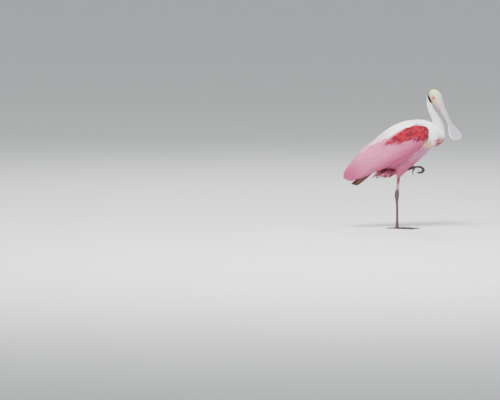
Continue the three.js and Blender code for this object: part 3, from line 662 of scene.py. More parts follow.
def plumage(tree):
    """White, lilac, pink, salmon and buff over the body, each feather a little different and darker at its
    root as painted shade.
    """
    place = tree.attribute("root")
    s, y, t = body_coordinates(tree, place)
    z = tree.parts(place)[2] * 1000
    drift = tree.noise(place, 22.0) - 0.5
    rearward = (s + drift * 60).between(76, -30) * t.between(0, 26)
    low = (t + drift * 24).between(-26, -52) * (s + drift * 30).between(136, 104)
    shade = tree.mix(tree.noise(place, 60.0), WHITE, SHADED_WHITE)
    shade = tree.mix(rearward * 0.9, shade, LILAC)
    shade = tree.mix(low, shade, BELLY_PINK)
    shade = tree.mix(z.between(262, 226), shade, THIGH_PINK)
    shade = tree.mix(patch(s, t, (34, -88), (34, 16)) * 0.6, shade, SALMON)
    beside_breast = patch(s, t, (104, -42), (11, 16)) * y.absolute().between(14, 26)
    shade = tree.mix(beside_breast * 0.85, shade, BUFF)
    shade = tree.mix(patch(s, t, (136, -62), (20, 13), 0.5) * 0.6, shade, BREAST_PINK)
    away = tree.add("ShaderNodeVectorMath", {"operation": "DISTANCE"}, {0: place, 1: BAND_AT * MM}, 0) * 1000
    shade = tree.mix(away.between(BAND_REACH - 0.5, BAND_REACH - 2.5), shade, colour(24, 22, 26))
    # Painted shade: along runs from 0 at a feather's root to 1 at its tip, so each feather is darker towards
    # its root, under the feather above; the random shade attribute adds a tone of its own.
    root_shade_and_tone = tree.attribute("shade", 2) * 0.1 + tree.attribute("along", 2) * 0.12 + 0.84
    grey = tree.add("ShaderNodeCombineColor", {}, {"Red": root_shade_and_tone, "Green": root_shade_and_tone, "Blue": root_shade_and_tone})
    tinted = tree.nodes.nodes.new("ShaderNodeMix")
    tinted.data_type, tinted.blend_type = "RGBA", "MULTIPLY"
    factor, first, second = (tinted.inputs[k] for k in MIX_INPUTS)
    factor.default_value = 1.0
    tree.nodes.links.new(shade.socket, first)
    tree.nodes.links.new(grey.socket, second)
    return {"colour": Value(tree, tinted.outputs[2])}


plumage_finish = finish("plumage", plumage, roughness=0.82, sheen=0.25, specular=0.25)
fused.materials.clear()
fused.materials.append(plumage_finish)
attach(skin, "root")
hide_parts("neck_upper", "neck_lower", "torso", "thigh_left", "thigh_right")
print("skin coloured")

# %% [markdown]
# ## Small feathers by Geometry Nodes
# A coat is thousands of feathers alike in shape that differ in size, turn and shade. One small blade is
# modelled, and Geometry Nodes scatter it over the skin, where a share attribute lets it grow, turn it to the
# lie, lift its tip and vary it. Realize Instances makes it plain mesh. Each blade's patch of the OFBake map
# is tiny and sits at its root's place on the skin's unwrap, so a baked picture holds one colour per feather.


# %% Blades
def blade(name, barbs, sag, thick):
    """A feather along +X, one unit long, of thin tapered bodies: each has a turn, width, length and rows."""
    points, faces, along_blade, maps = [], [], [], []
    profile = smooth([[0, 0.45], [0.3, 0.95], [0.6, 1.0], [0.85, 0.62], [1, 0.06]])
    for turn, width, reach, rows in barbs:
        u = np.linspace(0, 1, rows)
        half = profile(u)[:, 0] * width / 2
        x = u * reach
        y = np.sin(turn) * u ** 1.3 * reach
        z = sag * np.sin(u * math.pi * 0.86) - 0.04 * (1 - u) + 0.02 * abs(turn)
        left = np.column_stack([x, y + half, z - 0.25 * half])
        middle = np.column_stack([x, y, z + thick * (1 - 0.6 * u)])
        right = np.column_stack([x, y - half, z - 0.25 * half])
        ring = np.stack([left, middle, right], 1)
        start = sum(len(p) for p in points)
        body_points, body_faces = tube(ring, start)
        points.append(body_points)
        faces += body_faces
        along_blade.append(np.concatenate([np.repeat(u, 3), [0, 1]]))
        side = np.concatenate([np.tile([0.0, 0.5, 1.0], rows), [0.5, 0.5]])
        maps.append(np.column_stack([along_blade[-1], side]))
    made = make_piece(name, np.concatenate(points) / MM, faces,
                      {"along": np.concatenate(along_blade)}, {"blade_map": np.concatenate(maps)})
    turned_out(made)
    bpy.context.scene.collection.objects.unlink(made)
    return made


down_blade = blade("down_blade", [
    (-0.3, 0.15, 0.84, 3), (-0.1, 0.17, 1.0, 3), (0.12, 0.17, 0.95, 3), (0.3, 0.15, 0.8, 3),
], sag=0.04, thick=0.015)
contour_blade = blade("contour_blade", [
    (-0.22, 0.26, 0.9, 3), (0.0, 0.44, 1.0, 4), (0.22, 0.26, 0.86, 3),
], sag=0.06, thick=0.025)
print("down blade", len(down_blade.data.polygons), "faces, contour blade", len(contour_blade.data.polygons))


# %% [markdown]
# A bird has some thousands of small feathers, each in its own place. Particle hair could grow them, but it
# gives no plain mesh. This tree scatters points evenly over the skin, puts the blade on each, and varies its
# size, turn and shade.

# %% The tree that grows a coat
GROWS_ABOVE = 0.45  # the least share at which a coat grows
MOST_FEATHERS = 400000.0  # to a square metre, before the spacing thins them
TUFT_PATCH = 0.003  # how wide one feather's patch of the OFBake map is


def coat_tree():
    """Scatters a blade over a mesh where a share attribute is high, along its lie."""
    nodes = bpy.data.node_groups.new("grow_coat", "GeometryNodeTree")
    face = nodes.interface
    face.new_socket("Skin", in_out="INPUT", socket_type="NodeSocketGeometry")
    for name, kind in {
        "Blade": "Object", "Share": "String", "Spacing": "Float", "Length": "Float", "Width": "Float",
        "Lift": "Float", "Ruffle": "Float", "Seed": "Int", "Finish": "Material",
    }.items():
        face.new_socket(name, in_out="INPUT", socket_type="NodeSocket" + kind)
    face.new_socket("Coat", in_out="OUTPUT", socket_type="NodeSocketGeometry")
    tree = Tree(nodes)
    inlet = nodes.nodes.new("NodeGroupInput")
    given = {socket.name: Value(tree, socket) for socket in inlet.outputs if socket.name}

    def named(name, kind):
        return tree.add("GeometryNodeInputNamedAttribute", {"data_type": kind}, {"Name": name})

    def random(low, high, seed):
        limits = {"Min": low, "Max": high, "Seed": seed}
        return tree.add("FunctionNodeRandomValue", {"data_type": "FLOAT"}, limits)

    chosen = tree.add("FunctionNodeCompare", {"data_type": "FLOAT", "operation": "GREATER_THAN"},
                      {"A": named(given["Share"], "FLOAT"), "B": GROWS_ABOVE})
    scatter = tree.add("GeometryNodeDistributePointsOnFaces", {"distribute_method": "POISSON"}, {
        "Mesh": given["Skin"], "Selection": chosen, "Distance Min": given["Spacing"],
        "Density Max": MOST_FEATHERS, "Seed": given["Seed"]})
    normal = Value(tree, scatter.socket.node.outputs["Normal"])
    facing = tree.add("FunctionNodeAxesToRotation", {"primary_axis": "Z", "secondary_axis": "X"},
                      {"Primary Axis": normal, "Secondary Axis": named("lie", "FLOAT_VECTOR")})
    ruffle = given["Ruffle"]
    yaw = random(-1.0, 1.0, 3) * ruffle
    pitch = given["Lift"] * -1 + random(-0.4, 0.4, 5) * ruffle
    turn = tree.add("ShaderNodeCombineXYZ", {}, {"X": random(-0.8, 0.8, 7) * ruffle, "Y": pitch, "Z": yaw})
    tilt = tree.add("FunctionNodeEulerToRotation", {}, {"Euler": turn})
    facing = tree.add("FunctionNodeRotateRotation", {"rotation_space": "LOCAL"},
                      {"Rotation": facing, "Rotate By": tilt})
    size = named("feather_size", "FLOAT") * random(0.82, 1.18, 11)
    long, wide = size * given["Length"], size * given["Width"]
    scale = tree.add("ShaderNodeCombineXYZ", {}, {"X": long, "Y": wide, "Z": long})
    shaded = tree.add("GeometryNodeStoreNamedAttribute", {"data_type": "FLOAT", "domain": "POINT"},
                      {"Geometry": scatter, "Name": "shade", "Value": random(0.0, 1.0, 13)})
    grown = tree.add("GeometryNodeObjectInfo", {}, {"Object": given["Blade"]}, 3)
    grown = Value(tree, grown.socket.node.outputs["Geometry"])
    copies = tree.add("GeometryNodeInstanceOnPoints", {},
                      {"Points": shaded, "Instance": grown, "Rotation": facing, "Scale": scale})
    plain = tree.add("GeometryNodeRealizeInstances", {}, {"Geometry": copies})
    at_root = named("unwrap", "FLOAT_VECTOR")
    on_blade = named("blade_map", "FLOAT_VECTOR")
    tiny = tree.add("ShaderNodeVectorMath", {"operation": "SCALE"}, {"Vector": on_blade, "Scale": TUFT_PATCH})
    spot = tree.add("ShaderNodeVectorMath", {"operation": "ADD"}, {0: at_root, 1: tiny})
    mapped = tree.add("GeometryNodeStoreNamedAttribute", {"data_type": "FLOAT2", "domain": "CORNER"},
                      {"Geometry": plain, "Name": "OFBake", "Value": spot})
    done = tree.add("GeometryNodeSetMaterial", {}, {"Geometry": mapped, "Material": given["Finish"]})
    outlet = nodes.nodes.new("NodeGroupOutput")
    nodes.links.new(done.socket, outlet.inputs["Coat"])
    return nodes


COAT_TREE = coat_tree()


def grow_coat(name, ground, **sizes):
    """A coat over a mesh, as a plain mesh of its own."""
    holder = bpy.data.objects.new(name + "_ground", ground)
    bpy.context.scene.collection.objects.link(holder)
    grower = holder.modifiers.new("coat", "NODES")
    grower.node_group = COAT_TREE
    inputs = [item for item in COAT_TREE.interface.items_tree if item.in_out == "INPUT"]
    sockets = {item.name: item.identifier for item in inputs}
    for key, value in sizes.items():
        grower[sockets[key]] = value
    bpy.context.view_layer.update()
    grown = bpy.data.meshes.new_from_object(holder.evaluated_get(bpy.context.evaluated_depsgraph_get()))
    bpy.data.objects.remove(holder)
    coat = bpy.data.objects.new(name, grown)
    bpy.context.scene.collection.objects.link(coat)
    triangles = sum(len(face.vertices) - 2 for face in grown.polygons)
    print(name, len(grown.polygons), "faces,", triangles, "triangles")
    return coat


# %% [markdown]
# Neck feathers are short and downy, so their blade has four loose barbs. Contour feathers on the body are
# broader and lie closer. Each region is a coat of its own, so that each mesh stays small enough to share.

# %% Coats
FEWER = 1.0
DOWN = dict(Blade=down_blade, Length=1.1, Width=0.95, Lift=0.0, Ruffle=0.14)
CONTOUR = dict(Blade=contour_blade, Length=1.0, Width=0.95, Lift=0.01, Ruffle=0.1)
coats = {
    "neck_coat": {**DOWN, "Share": "neck_high", "Spacing": 0.0011 * FEWER, "Seed": 4},
    "neck_base_coat": {**DOWN, "Share": "neck_low", "Spacing": 0.0015 * FEWER, "Seed": 5},
    "breast_coat": {**CONTOUR, "Share": "front_share", "Spacing": 0.0027 * FEWER, "Seed": 7},
    "belly_coat": {**CONTOUR, "Share": "rear_share", "Spacing": 0.003 * FEWER, "Seed": 8},
    "thigh_coat": {**CONTOUR, "Share": "thigh_share", "Spacing": 0.0021 * FEWER, "Seed": 9,
                   "Width": 0.8, "Lift": 0.02, "Ruffle": 0.13},
}
COVERED = {
    "neck_coat": ["neck_upper"],
    "neck_base_coat": ["neck_lower"],
    "breast_coat": ["torso"],
    "belly_coat": ["torso"],
    "thigh_coat": ["thigh_left", "thigh_right"],
}
for name, sizes in coats.items():
    coat = grow_coat(name, fused, Finish=plumage_finish, **sizes)
    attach(coat, "root")
    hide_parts(*COVERED[name])

# %% [markdown]
# ## Wing and tail feathers
# A vane is a shaft with a web on each side. Here each one is a thin closed body that follows the surface of
# the folded wing, laid from a root to a tip, with its lower edge lifted over the next feather, which is how
# feathers shed water. The tiers go from the long flight feathers outwards to the small ones at the bend.


# %% One vane on a surface
def tube_maps(u, across):
    """The share along of each point of a tube, and its place on the blade map; across is one ring's."""
    shares = np.concatenate([np.repeat(u, len(across)), [0, 1]])
    return shares, np.column_stack([shares, np.concatenate([np.tile(across, len(u)), [0.5, 0.5]])])


def vane(shell, side, root, tip, width, lift, lean, rows=13, columns=7, point=0.5, rough=0.0, seed=0):
    """A vane on a body surface from a root to a tip (s, angle): points, faces, shares along, map and root."""
    rng = np.random.default_rng(seed)
    (s0, a0), (s1, a1) = root, tip
    u = 1 - (1 - np.linspace(0, 1, rows)) ** 1.5
    v = np.linspace(-1, 1, columns)
    s, angle = s0 + (s1 - s0) * u, a0 + (a1 - a0) * u
    top, bottom, half_wide = shell(s).T
    tall = (top - bottom) / 2
    stretch = np.sqrt((half_wide * np.cos(angle)) ** 2 + (tall * np.sin(angle)) ** 2) + 1e-3
    arc = stretch * (a1 - a0)
    along_s = np.full_like(u, s1 - s0)
    long = np.hypot(arc, along_s)
    shape = smooth([
        [0, 0.34], [0.2, 0.8], [0.55, 1.0], [0.82, 0.88], [0.94, 0.62 * (1 - 0.4 * point)], [1, 0.08],
    ])
    half = shape(u)[:, 0] * width / 2
    ragged = 1 + rough * rng.normal(0, 1, (rows, 2)) * (u[:, None] > 0.3)
    reach = np.where(v[None] < 0, ragged[:, :1], ragged[:, 1:]) * half[:, None] * v[None]
    across_s = -arc / long
    across_arc = along_s / long
    place_s = s[:, None] + reach * across_s[:, None] * -1
    place_angle = angle[:, None] + reach * (-across_arc / stretch)[:, None]
    level = lift[0] + (lift[1] - lift[0]) * u[:, None] + lean * reach
    shaft = 0.35 * np.exp(-(v[None] / 0.16) ** 2) * (1 - u[:, None])
    cupped = level + 0.5 * (1 - v[None] ** 2) * half[:, None] / 12
    thick = (0.42 - 0.22 * u[:, None]) * (1 - 0.35 * np.abs(v[None]))
    upper = shell_point(shell, side, place_s, place_angle, cupped + shaft + thick / 2)
    lower = shell_point(shell, side, place_s, place_angle, cupped - thick / 2)
    rings = np.concatenate([upper, lower[:, ::-1]], axis=1)
    shares, maps = tube_maps(u, np.concatenate([(v + 1) / 2, (v[::-1] + 1) / 2]))
    return *tube(rings), shares, maps, shell_point(shell, side, np.array(s0), np.array(a0), 0.0)


def vane_piece(name, vanes, across=16):
    """One mesh of many vanes. Each has its own cell of the OFBake map, its shade and its root's place."""
    points, faces, roots, shares, shades, blade_maps, cells = [], [], [], [], [], [], []
    rng = np.random.default_rng(len(vanes))
    start = 0
    for i, (p, f, u, m, root) in enumerate(vanes):
        points.append(p)
        faces += [[k + start for k in face] for face in f]
        start += len(p)
        roots.append(np.broadcast_to(root * MM, (len(p), 3)))
        shares.append(u)
        shades.append(np.full(len(p), rng.random()))
        blade_maps.append(m)
        corner = np.array([i % across, i // across])
        cells.append((corner + 0.08 + 0.84 * m[:, ::-1]) / across)
    made = make_piece(name, np.concatenate(points), faces, {
        "root": np.concatenate(roots), "along": np.concatenate(shares), "shade": np.concatenate(shades),
    }, {"OFBake": np.concatenate(cells), "blade_map": np.concatenate(blade_maps)})
    turned_out(made)
    print(name, len(vanes), "feathers,", sum(len(f.vertices) - 2 for f in made.data.polygons), "triangles")
    return made


TIP_JITTER = 1.0  # how far, in millimetres, a tip strays from its even place


def tier(shell, side, count, roots, tips, width, lift, lean, seed, **shape):
    """A row of vanes between knots of roots and tips, spread evenly and a little irregular."""
    rng = np.random.default_rng(seed)
    at_root = smooth([[i / (len(roots) - 1), *k] for i, k in enumerate(roots)])
    at_tip = smooth([[i / (len(tips) - 1), *k] for i, k in enumerate(tips)])
    made = []
    for i in range(count):
        u = i / (count - 1)
        root, tip = at_root(u), at_tip(u) + rng.normal(0, TIP_JITTER, 2)
        root, tip = ((s, float(shell_angle(shell, s, t))) for s, t in (root, tip))
        wide, leaning = width * (1 + 0.06 * rng.normal()), lean * (1 + 0.08 * rng.normal())
        made.append(vane(shell, side, root, tip, wide, lift, leaning, seed=seed * 100 + i, **shape))
    return made


print("vanes ready")

# %% [markdown]
# A folded wing shows its feathers in tiers: long flight feathers below, then the greater, median and lesser
# coverts, each row over the roots of the one before. A tier is given by knots for its roots and its tips, and
# the vanes between them are spread evenly, with small differences.

# %% Tiers of the wing
TIERS = {
    "flight": dict(count=24, width=25, lift=(3.6, 2.6), lean=0.1, rows=20, columns=9, point=0.4, rough=0.012,
                   roots=[[108, -26], [96, -16], [76, -4], [52, 10], [28, 22], [8, 32], [-8, 40]],
                   tips=[[-26, -50], [-80, -37], [-134, -29], [-178, -27], [-212, -19], [-225, -5], [-221, 5],
                         [-203, 16], [-168, 29]]),
    "greater": dict(count=20, width=21, lift=(6.2, 4.0), lean=0.08, rows=15, columns=9, rough=0.015,
                    roots=[[110, -22], [80, -6], [40, 16], [0, 38]],
                    tips=[[38, -48], [-8, -41], [-56, -29], [-94, -10], [-114, 11], [-118, 34]]),
    "median": dict(count=20, width=18, lift=(8.2, 6.0), lean=0.07, rows=12, columns=7, rough=0.02,
                   roots=[[112, -16], [80, 2], [40, 22], [4, 38]],
                   tips=[[64, -37], [30, -31], [-4, -21], [-36, -4], [-54, 15], [-58, 33]]),
    "lesser": dict(count=20, width=15, lift=(9.4, 8.2), lean=0.07, rows=10, columns=7, rough=0.03,
                   roots=[[116, -12], [92, 4], [62, 20], [24, 36]],
                   tips=[[84, -28], [56, -20], [28, -8], [0, 8], [-18, 22], [-22, 34]]),
    "upper_lesser": dict(count=18, width=13, lift=(9.8, 9.6), lean=0.06, rows=9, columns=7, rough=0.04,
                         roots=[[121, -10], [104, 6], [76, 22], [42, 36]],
                         tips=[[97, -24], [76, -13], [50, 0], [26, 14], [8, 26], [4, 35]]),
    "shoulder": dict(count=16, width=11, lift=(9.2, 10.6), lean=0.06, rows=8, columns=5, rough=0.05,
                     roots=[[124, -6], [112, 10], [92, 22], [62, 35]],
                     tips=[[108, -16], [93, -5], [70, 8], [46, 20], [30, 30], [28, 37]]),
    "bend": dict(count=13, width=9, lift=(6.4, 10.6), lean=0.05, rows=7, columns=5, rough=0.06,
                 roots=[[127, -2], [120, 12], [104, 22], [84, 31]],
                 tips=[[116, -9], [105, 2], [86, 14], [66, 24], [52, 33]]),
}


def wing_bed(side):
    """The forearm under the coverts, which closes the view between the feathers."""
    edges = smooth([
        [-40, 42, 18], [-10, 45, -6], [30, 44, -30], [70, 38, -41], [100, 29, -38], [116, 18, -24],
        [127, 6, -8],
    ])
    outer = smooth([[-40, 3], [0, 7], [40, 8.6], [90, 8.6], [118, 6.4], [127, 2]])
    s = np.linspace(-40, 127, 30)
    high, low = (shell_angle(FOLDED_WING, s, edges(s)[:, k]) for k in (0, 1))
    across = np.linspace(0, 1, 14)
    angle = high[:, None] + (low - high)[:, None] * across[None]
    bulge = outer(s)[:, :1] * np.sin(math.pi * across)[None] ** 0.5
    upper = shell_point(FOLDED_WING, side, s[:, None], angle, bulge)
    lower = shell_point(FOLDED_WING, side, s[:, None], angle, 0.4 + 0 * bulge)
    points, faces = tube(np.concatenate([upper, lower[:, ::-1]], axis=1))
    flat = np.zeros(len(points))
    maps = np.column_stack([np.linspace(0, 1, len(points)), flat + 0.5])
    return points, faces, flat, maps, body(20.0, side * 55.0, 0.0)


# %% [markdown]
# ## The colours of the wing
# The wing is pink, paler along the feathers' edges, with pale shafts, and painted shade deepens it towards
# its lower edge and tip. The small coverts at the shoulder are crimson in a long patch that runs from the
# bend backwards, and its lower edge is drawn out in streaks along the feathers. Barbs are fine slanting
# lines, in the bump and a little in the colour.

# %% Wing colours
WING_PINK = colour(190, 86, 130)
WING_PALE = colour(210, 128, 164)
WING_DEEP = colour(148, 46, 86)
CRIMSON = colour(150, 0, 28)
CRIMSON_DARK = colour(92, 0, 16)


def barbs(tree, count):
    """Fine slanting lines on both webs of a vane, and the distance from its shaft."""
    x, y, _ = tree.parts(tree.add("ShaderNodeUVMap", {"uv_map": "blade_map"}, {}))
    from_shaft = (y - 0.5).absolute() * 2
    lines = ((x * count - from_shaft * (count * 0.22)) * math.tau).sine()
    return x, from_shaft, lines


def wing_look(tree):
    """Pink vanes with a crimson patch on the shoulder."""
    place, root = object_at(tree), tree.attribute("root")
    s, _, t = body_coordinates(tree, place)
    x, from_shaft, lines = barbs(tree, 70)
    drift = tree.noise(root, 60.0) - 0.5
    on_feather = {"X": x * 1.6, "Y": from_shaft * 2.2, "Z": tree.attribute("shade", 2) * 60}
    streak = tree.noise(tree.add("ShaderNodeCombineXYZ", {}, on_feather), 3.0) - 0.5
    shade = tree.mix(tree.attribute("shade", 2) * 0.55 + streak * 0.5, WING_PINK, WING_PALE)
    shade = tree.mix(from_shaft.between(0.35, 1.0) * 0.5, shade, WING_PALE)
    # Painted shade: the wing darkens to WING_DEEP towards its lower edge and towards its tip.
    painted_edge_shade = t.between(4, -46).maths("MAXIMUM", t.between(4, -46), (s + drift * 60).between(-110, -220))
    shade = tree.mix(painted_edge_shade * 0.85, shade, WING_DEEP)
    shade = tree.mix(from_shaft.between(0.08, 0.03) * 0.3, shade, colour(240, 200, 212))
    in_front = (s - 64).maths("MAXIMUM", s - 64, 0.0)
    ridge = in_front * in_front * -0.0052 + (s - 64).maths("MINIMUM", s - 64, 0.0) * 0.05 + 43
    over_line = t - 12 + s * 0.42
    top_edge = t - ridge + drift * 6
    own = tree.attribute("shade", 2) - 0.5
    fringe = over_line + own * 16 + streak * 30 + drift * 14
    behind = (s + own * 40 + streak * 60 + drift * 40).between(-58, -14)
    red = fringe.between(-5, 5) * behind * (s + streak * 10).between(136, 128) * top_edge.between(1, -3)
    above = top_edge.between(-1, 5) * (s + streak * 30).between(-70, 0)
    shade = tree.mix(above, shade, tree.mix((s + drift * 40).between(70, -40), WHITE, LILAC))
    loose = (fringe + streak * 40).between(-16, -2) * (s + own * 60).between(-84, -20)
    loose = loose * (s + drift * 50).between(50, 10)
    red = red.maths("MAXIMUM", red, loose * streak.between(0.03, 0.1) * 0.8)
    paler = (streak + drift * 0.5).between(0.07, 0.2) * over_line.between(30, 2)
    red_shade = tree.mix(tree.noise(place, 90.0).between(0.35, 0.65), CRIMSON_DARK, CRIMSON)
    shade = tree.mix(red, shade, tree.mix(paler * 0.7, red_shade, WING_PALE))
    shade = tree.mix((lines * 0.5 + 0.5) * 0.08, shade, WING_DEEP)
    return {"colour": shade, "height": lines * 0.5 + from_shaft.between(0.1, 0.0) * 2, "depth": 0.00008}


wing_finish = finish("wing_feathers", wing_look, roughness=0.66, sheen=0.08, specular=0.2)
for side, word in ((1, "left"), (-1, "right")):
    bed = vane_piece(f"wing_{word}_bed", [wing_bed(side)])
    tiers = [tier(FOLDED_WING, side, seed=11 + i, **sizes) for i, sizes in enumerate(TIERS.values())]
    feathers = vane_piece(f"wing_{word}_feathers", sum(tiers, []))
    for piece in (bed, feathers):
        piece.data.materials.append(wing_finish)
        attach(piece, "root")
    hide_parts(f"wing_{word}")

# %% [markdown]
# ## Feathers of the back and the breast's sides
# Scapulars grow in rows over the back, and longer ones cover the upper edge of each wing. A fold of skin
# under them closes the space between the back and the wing. Small feathers beside the breast reach to the
# wing's front edge, and the upper tail coverts step down to the tail.

# %% Scapular feathers on the back
def back_look(tree):
    """White at the front of the back, turning lilac-pink towards the rump."""
    root = tree.attribute("root")
    s = body_coordinates(tree, root)[0]
    _, from_shaft, lines = barbs(tree, 40)
    drift = tree.noise(root, 40.0) - 0.5
    rearward = (s + drift * 50 + tree.attribute("shade", 2) * 24).between(72, -30)
    shade = tree.mix(rearward, WHITE, LILAC)
    shade = tree.mix(from_shaft.between(0.5, 1.0) * rearward * 0.5, shade, colour(238, 214, 224))
    shade = tree.mix(tree.attribute("along", 2).between(0.5, 0.0) * 0.3, shade, SHADED_WHITE)
    shade = tree.mix(from_shaft.between(0.09, 0.03) * 0.5, shade, WHITE)
    return {"colour": shade, "height": lines * 0.5, "depth": 0.00006}


def shoulder_bed(side):
    """The fold of skin and down between the back and the folded wing, which the scapulars cover."""
    s, v = np.linspace(-62, 104, 40), np.linspace(0, 1, 12)
    inner = shell_point(BACK, side, s, 0 * s + 0.7, np.interp(s, [-62, 70, 104], [-2.0, -2.0, -6.0]))
    edge = shell_angle(FOLDED_WING, s, WING_TOP(s)[:, 0])
    height = np.interp(s, [-62, 20, 70, 104], [1.0, 5.0, 3.0, -6.0])
    outer = shell_point(FOLDED_WING, side, s, edge + 0.04, height)
    sheet = inner[:, None] * (1 - v)[None, :, None] + outer[:, None] * v[None, :, None]
    sheet = sheet + 1.5 * np.sin(math.pi * v)[None, :, None] * RISE
    points, faces = tube(np.concatenate([sheet, (sheet - 1.2 * RISE)[:, ::-1]], axis=1))
    shares, maps = tube_maps(np.linspace(0, 1, len(s)), np.concatenate([v, v[::-1]]))
    return points, faces, 0 * shares + 0.5, maps, points


def side_feather(side, s_root, t_root, back, width, lift, rows, rough, seed):
    """A small feather on the torso's side, from a place (s, t) to one further back and down."""
    s_tip, t_tip = s_root - back[0], t_root - back[1]
    start, end = (float(shell_angle(TORSO, s, t)) for s, t in ((s_root, t_root), (s_tip, t_tip)))
    return vane(TORSO, side, (s_root, start), (s_tip, end), width, lift, 0.01, rows, 5,
                rough=rough, seed=seed)


back_finish = finish("back_feathers", back_look, roughness=0.7, sheen=0.2, specular=0.3)
rng = np.random.default_rng(5)
scapulars = [shoulder_bed(1), shoulder_bed(-1)]
for row in range(15):
    s_root = 100 - 14.2 * row + rng.normal(0, 1.0)
    reach = np.interp(s_root, [-100, -20, 100], [64, 52, 25])
    wide = np.interp(s_root, [-100, 0, 100], [18, 16, 10])
    low = np.interp(s_root, [-100, 60, 100], [0.5, 0.2, -2.6])
    high = np.interp(s_root, [-100, 30, 100], [1.2, 2.6, 0.4])
    widest = np.interp(s_root, [-100, -40, 100], [0.5, 0.68, 0.72])
    for i, spread in enumerate(np.linspace(1, 0, 6)):
        for side in (1, -1) if spread > 0 else (1,):
            angle = widest * spread + (0.04 if row % 2 else 0.0) * (spread > 0)
            start, end = s_root - 8 * spread, s_root - 8 * spread - reach * (1 + 0.07 * rng.normal())
            up = (low, high - 0.5 * spread + 0.1 * side)
            tip = (end, angle + 0.05 * spread + 0.02 * rng.normal())
            scapulars.append(vane(BACK, side, (start, angle), tip, wide, up, 0.02, rows=12, rough=0.03,
                                  seed=900 + len(scapulars)))
for side in (1, -1):
    for i in range(20):
        s_root = 106 - 8.7 * i + rng.normal(0, 1.2)
        reach, wide = np.interp(i, [0, 19], [27, 74]), np.interp(i, [0, 19], [10, 19])
        s_tip = s_root - reach
        start = float(shell_angle(FOLDED_WING, s_root, WING_TOP(s_root)[0])) - 0.2
        end = float(shell_angle(FOLDED_WING, s_tip, WING_TOP(s_tip)[0])) + rng.uniform(-0.03, 0.05)
        up = (1.5, np.interp(i, [0, 10, 19], [9.6, 9.2, 4.6]))
        scapulars.append(vane(FOLDED_WING, side, (s_root, start), (s_tip, end), wide, up, 0.015, rows=13,
                              rough=0.03, seed=1500 + len(scapulars)))
for side in (1, -1):
    for row in range(7):
        for i in range(15):
            t_root = np.interp(i, [0, 14], [26, -52]) + rng.normal(0, 1.5)
            s_root = 154 - 3.8 * row - 0.0045 * (t_root + 10) ** 2 + rng.normal(0, 1.2)
            scapulars.append(side_feather(side, s_root, t_root, (15, 2.5), 6.0,
                                          (-2.6, np.interp(row, [0, 6], [0.8, 4.8])), 7, 0.06,
                                          2500 + len(scapulars)))
for row in range(4):
    for i in range(9):
        angle = (i - 4) * 0.16
        s_root, side, away = -104 - 9 * row, 1 if angle >= 0 else -1, abs(angle)
        scapulars.append(vane(BACK, side, (s_root, away + 0.02), (s_root - 40, away + 0.3), 15,
                              (-4 - 5 * row, -6 - 7 * row), 0.02, rows=10, rough=0.04,
                              seed=3500 + len(scapulars)))
back_feathers = vane_piece("back_feathers", scapulars, across=24)
back_feathers.data.materials.append(back_finish)
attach(back_feathers, "root")
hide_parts("torso")

# %% [markdown]
# On a resting bird the flank feathers fill the space between the body and the front edge of the folded wing.
# Three rows of small vanes follow that edge and reach under it, in the plumage's own colours.

# %% Flank feathers in front of the wing
FRONT_EDGE = smooth([[-52, 40], [-46, 56], [-38, 76], [-30, 92], [-20, 104], [-8, 112], [4, 118]])
flank = []
rng = np.random.default_rng(44)
for side in (1, -1):
    for row in range(3):
        for i in range(26):
            t_root = np.interp(i, [0, 25], [4, -50]) + rng.normal(0, 0.8)
            s_root = FRONT_EDGE(t_root)[0] + 17 - 5 * row + rng.normal(0, 1.0)
            flank.append(side_feather(side, s_root, t_root, (21, 2), 6.5,
                                      (-2.2, np.interp(row, [0, 2], [4.0, 9.0])), 8, 0.05, 4200 + len(flank)))
flank_feathers = vane_piece("flank_feathers", flank, across=16)
flank_feathers.data.materials.append(plumage_finish)
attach(flank_feathers, "root")
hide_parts("torso")

# %% [markdown]
# ## Tail, and the curled plumes under it and on the breast
# The tail is twelve rusty brown feathers, stacked from the middle pair down. Plumes differ from vanes: their
# barbs don't hook together, so they hang in loose curls. Each is a narrow ribbon that follows a bent path,
# made in one function for the tail's underside and the breast.


# %% Ribbons
def ribbon(path, widths, facing, thick=0.35):
    """A thin closed strip along a path, flat towards facing, with a half width at each point."""
    path, widths = np.asarray(path, float), np.asarray(widths, float)
    tangent = np.gradient(path, axis=0)
    tangent /= np.linalg.norm(tangent, axis=1)[:, None]
    across = np.cross(tangent, np.asarray(facing, float))
    across /= np.maximum(np.linalg.norm(across, axis=1), 1e-6)[:, None]
    normal = np.cross(across, tangent)
    edge = across * widths[:, None]
    rings = np.stack([path + edge, path + normal * thick, path - edge, path - normal * thick * 0.4], 1)
    return *tube(rings), *tube_maps(np.linspace(0, 1, len(path)), [0.0, 0.5, 1.0, 0.5]), path[0]


def plume(root, direction, length, wide, curl, rng):
    """A loose plume from its root, which curls sideways and up towards its tip."""
    direction = np.asarray(direction, float) / np.linalg.norm(direction)
    sideways = np.cross(direction, [0, 0, 1.0])
    sideways /= np.linalg.norm(sideways)
    above = np.cross(sideways, direction)
    u = np.linspace(0, 1, 10)
    path = np.asarray(root)[None] + direction[None] * (length * np.sin(u * 1.35) / 0.976)[:, None]
    path = path + sideways[None] * (curl * u ** 2 * length * 0.32)[:, None]
    path = path + above[None] * (np.abs(curl) * 0.25 * length * u ** 3)[:, None]
    widths = wide / 2 * smooth([[0, 0.4], [0.3, 0.9], [0.75, 1.0], [0.93, 0.6], [1, 0.1]])(u)[:, 0]
    facing = above * math.cos(rng.normal(0, 0.7)) + sideways * math.sin(rng.normal(0, 0.9))
    return ribbon(path, widths, facing)


# %% [markdown]
# A tail feather is a flat vane along a straight line and not on a curved surface, so it gets a few lines of
# its own: a centre line, a half width along it, and a lean that grows from the middle pair outwards.

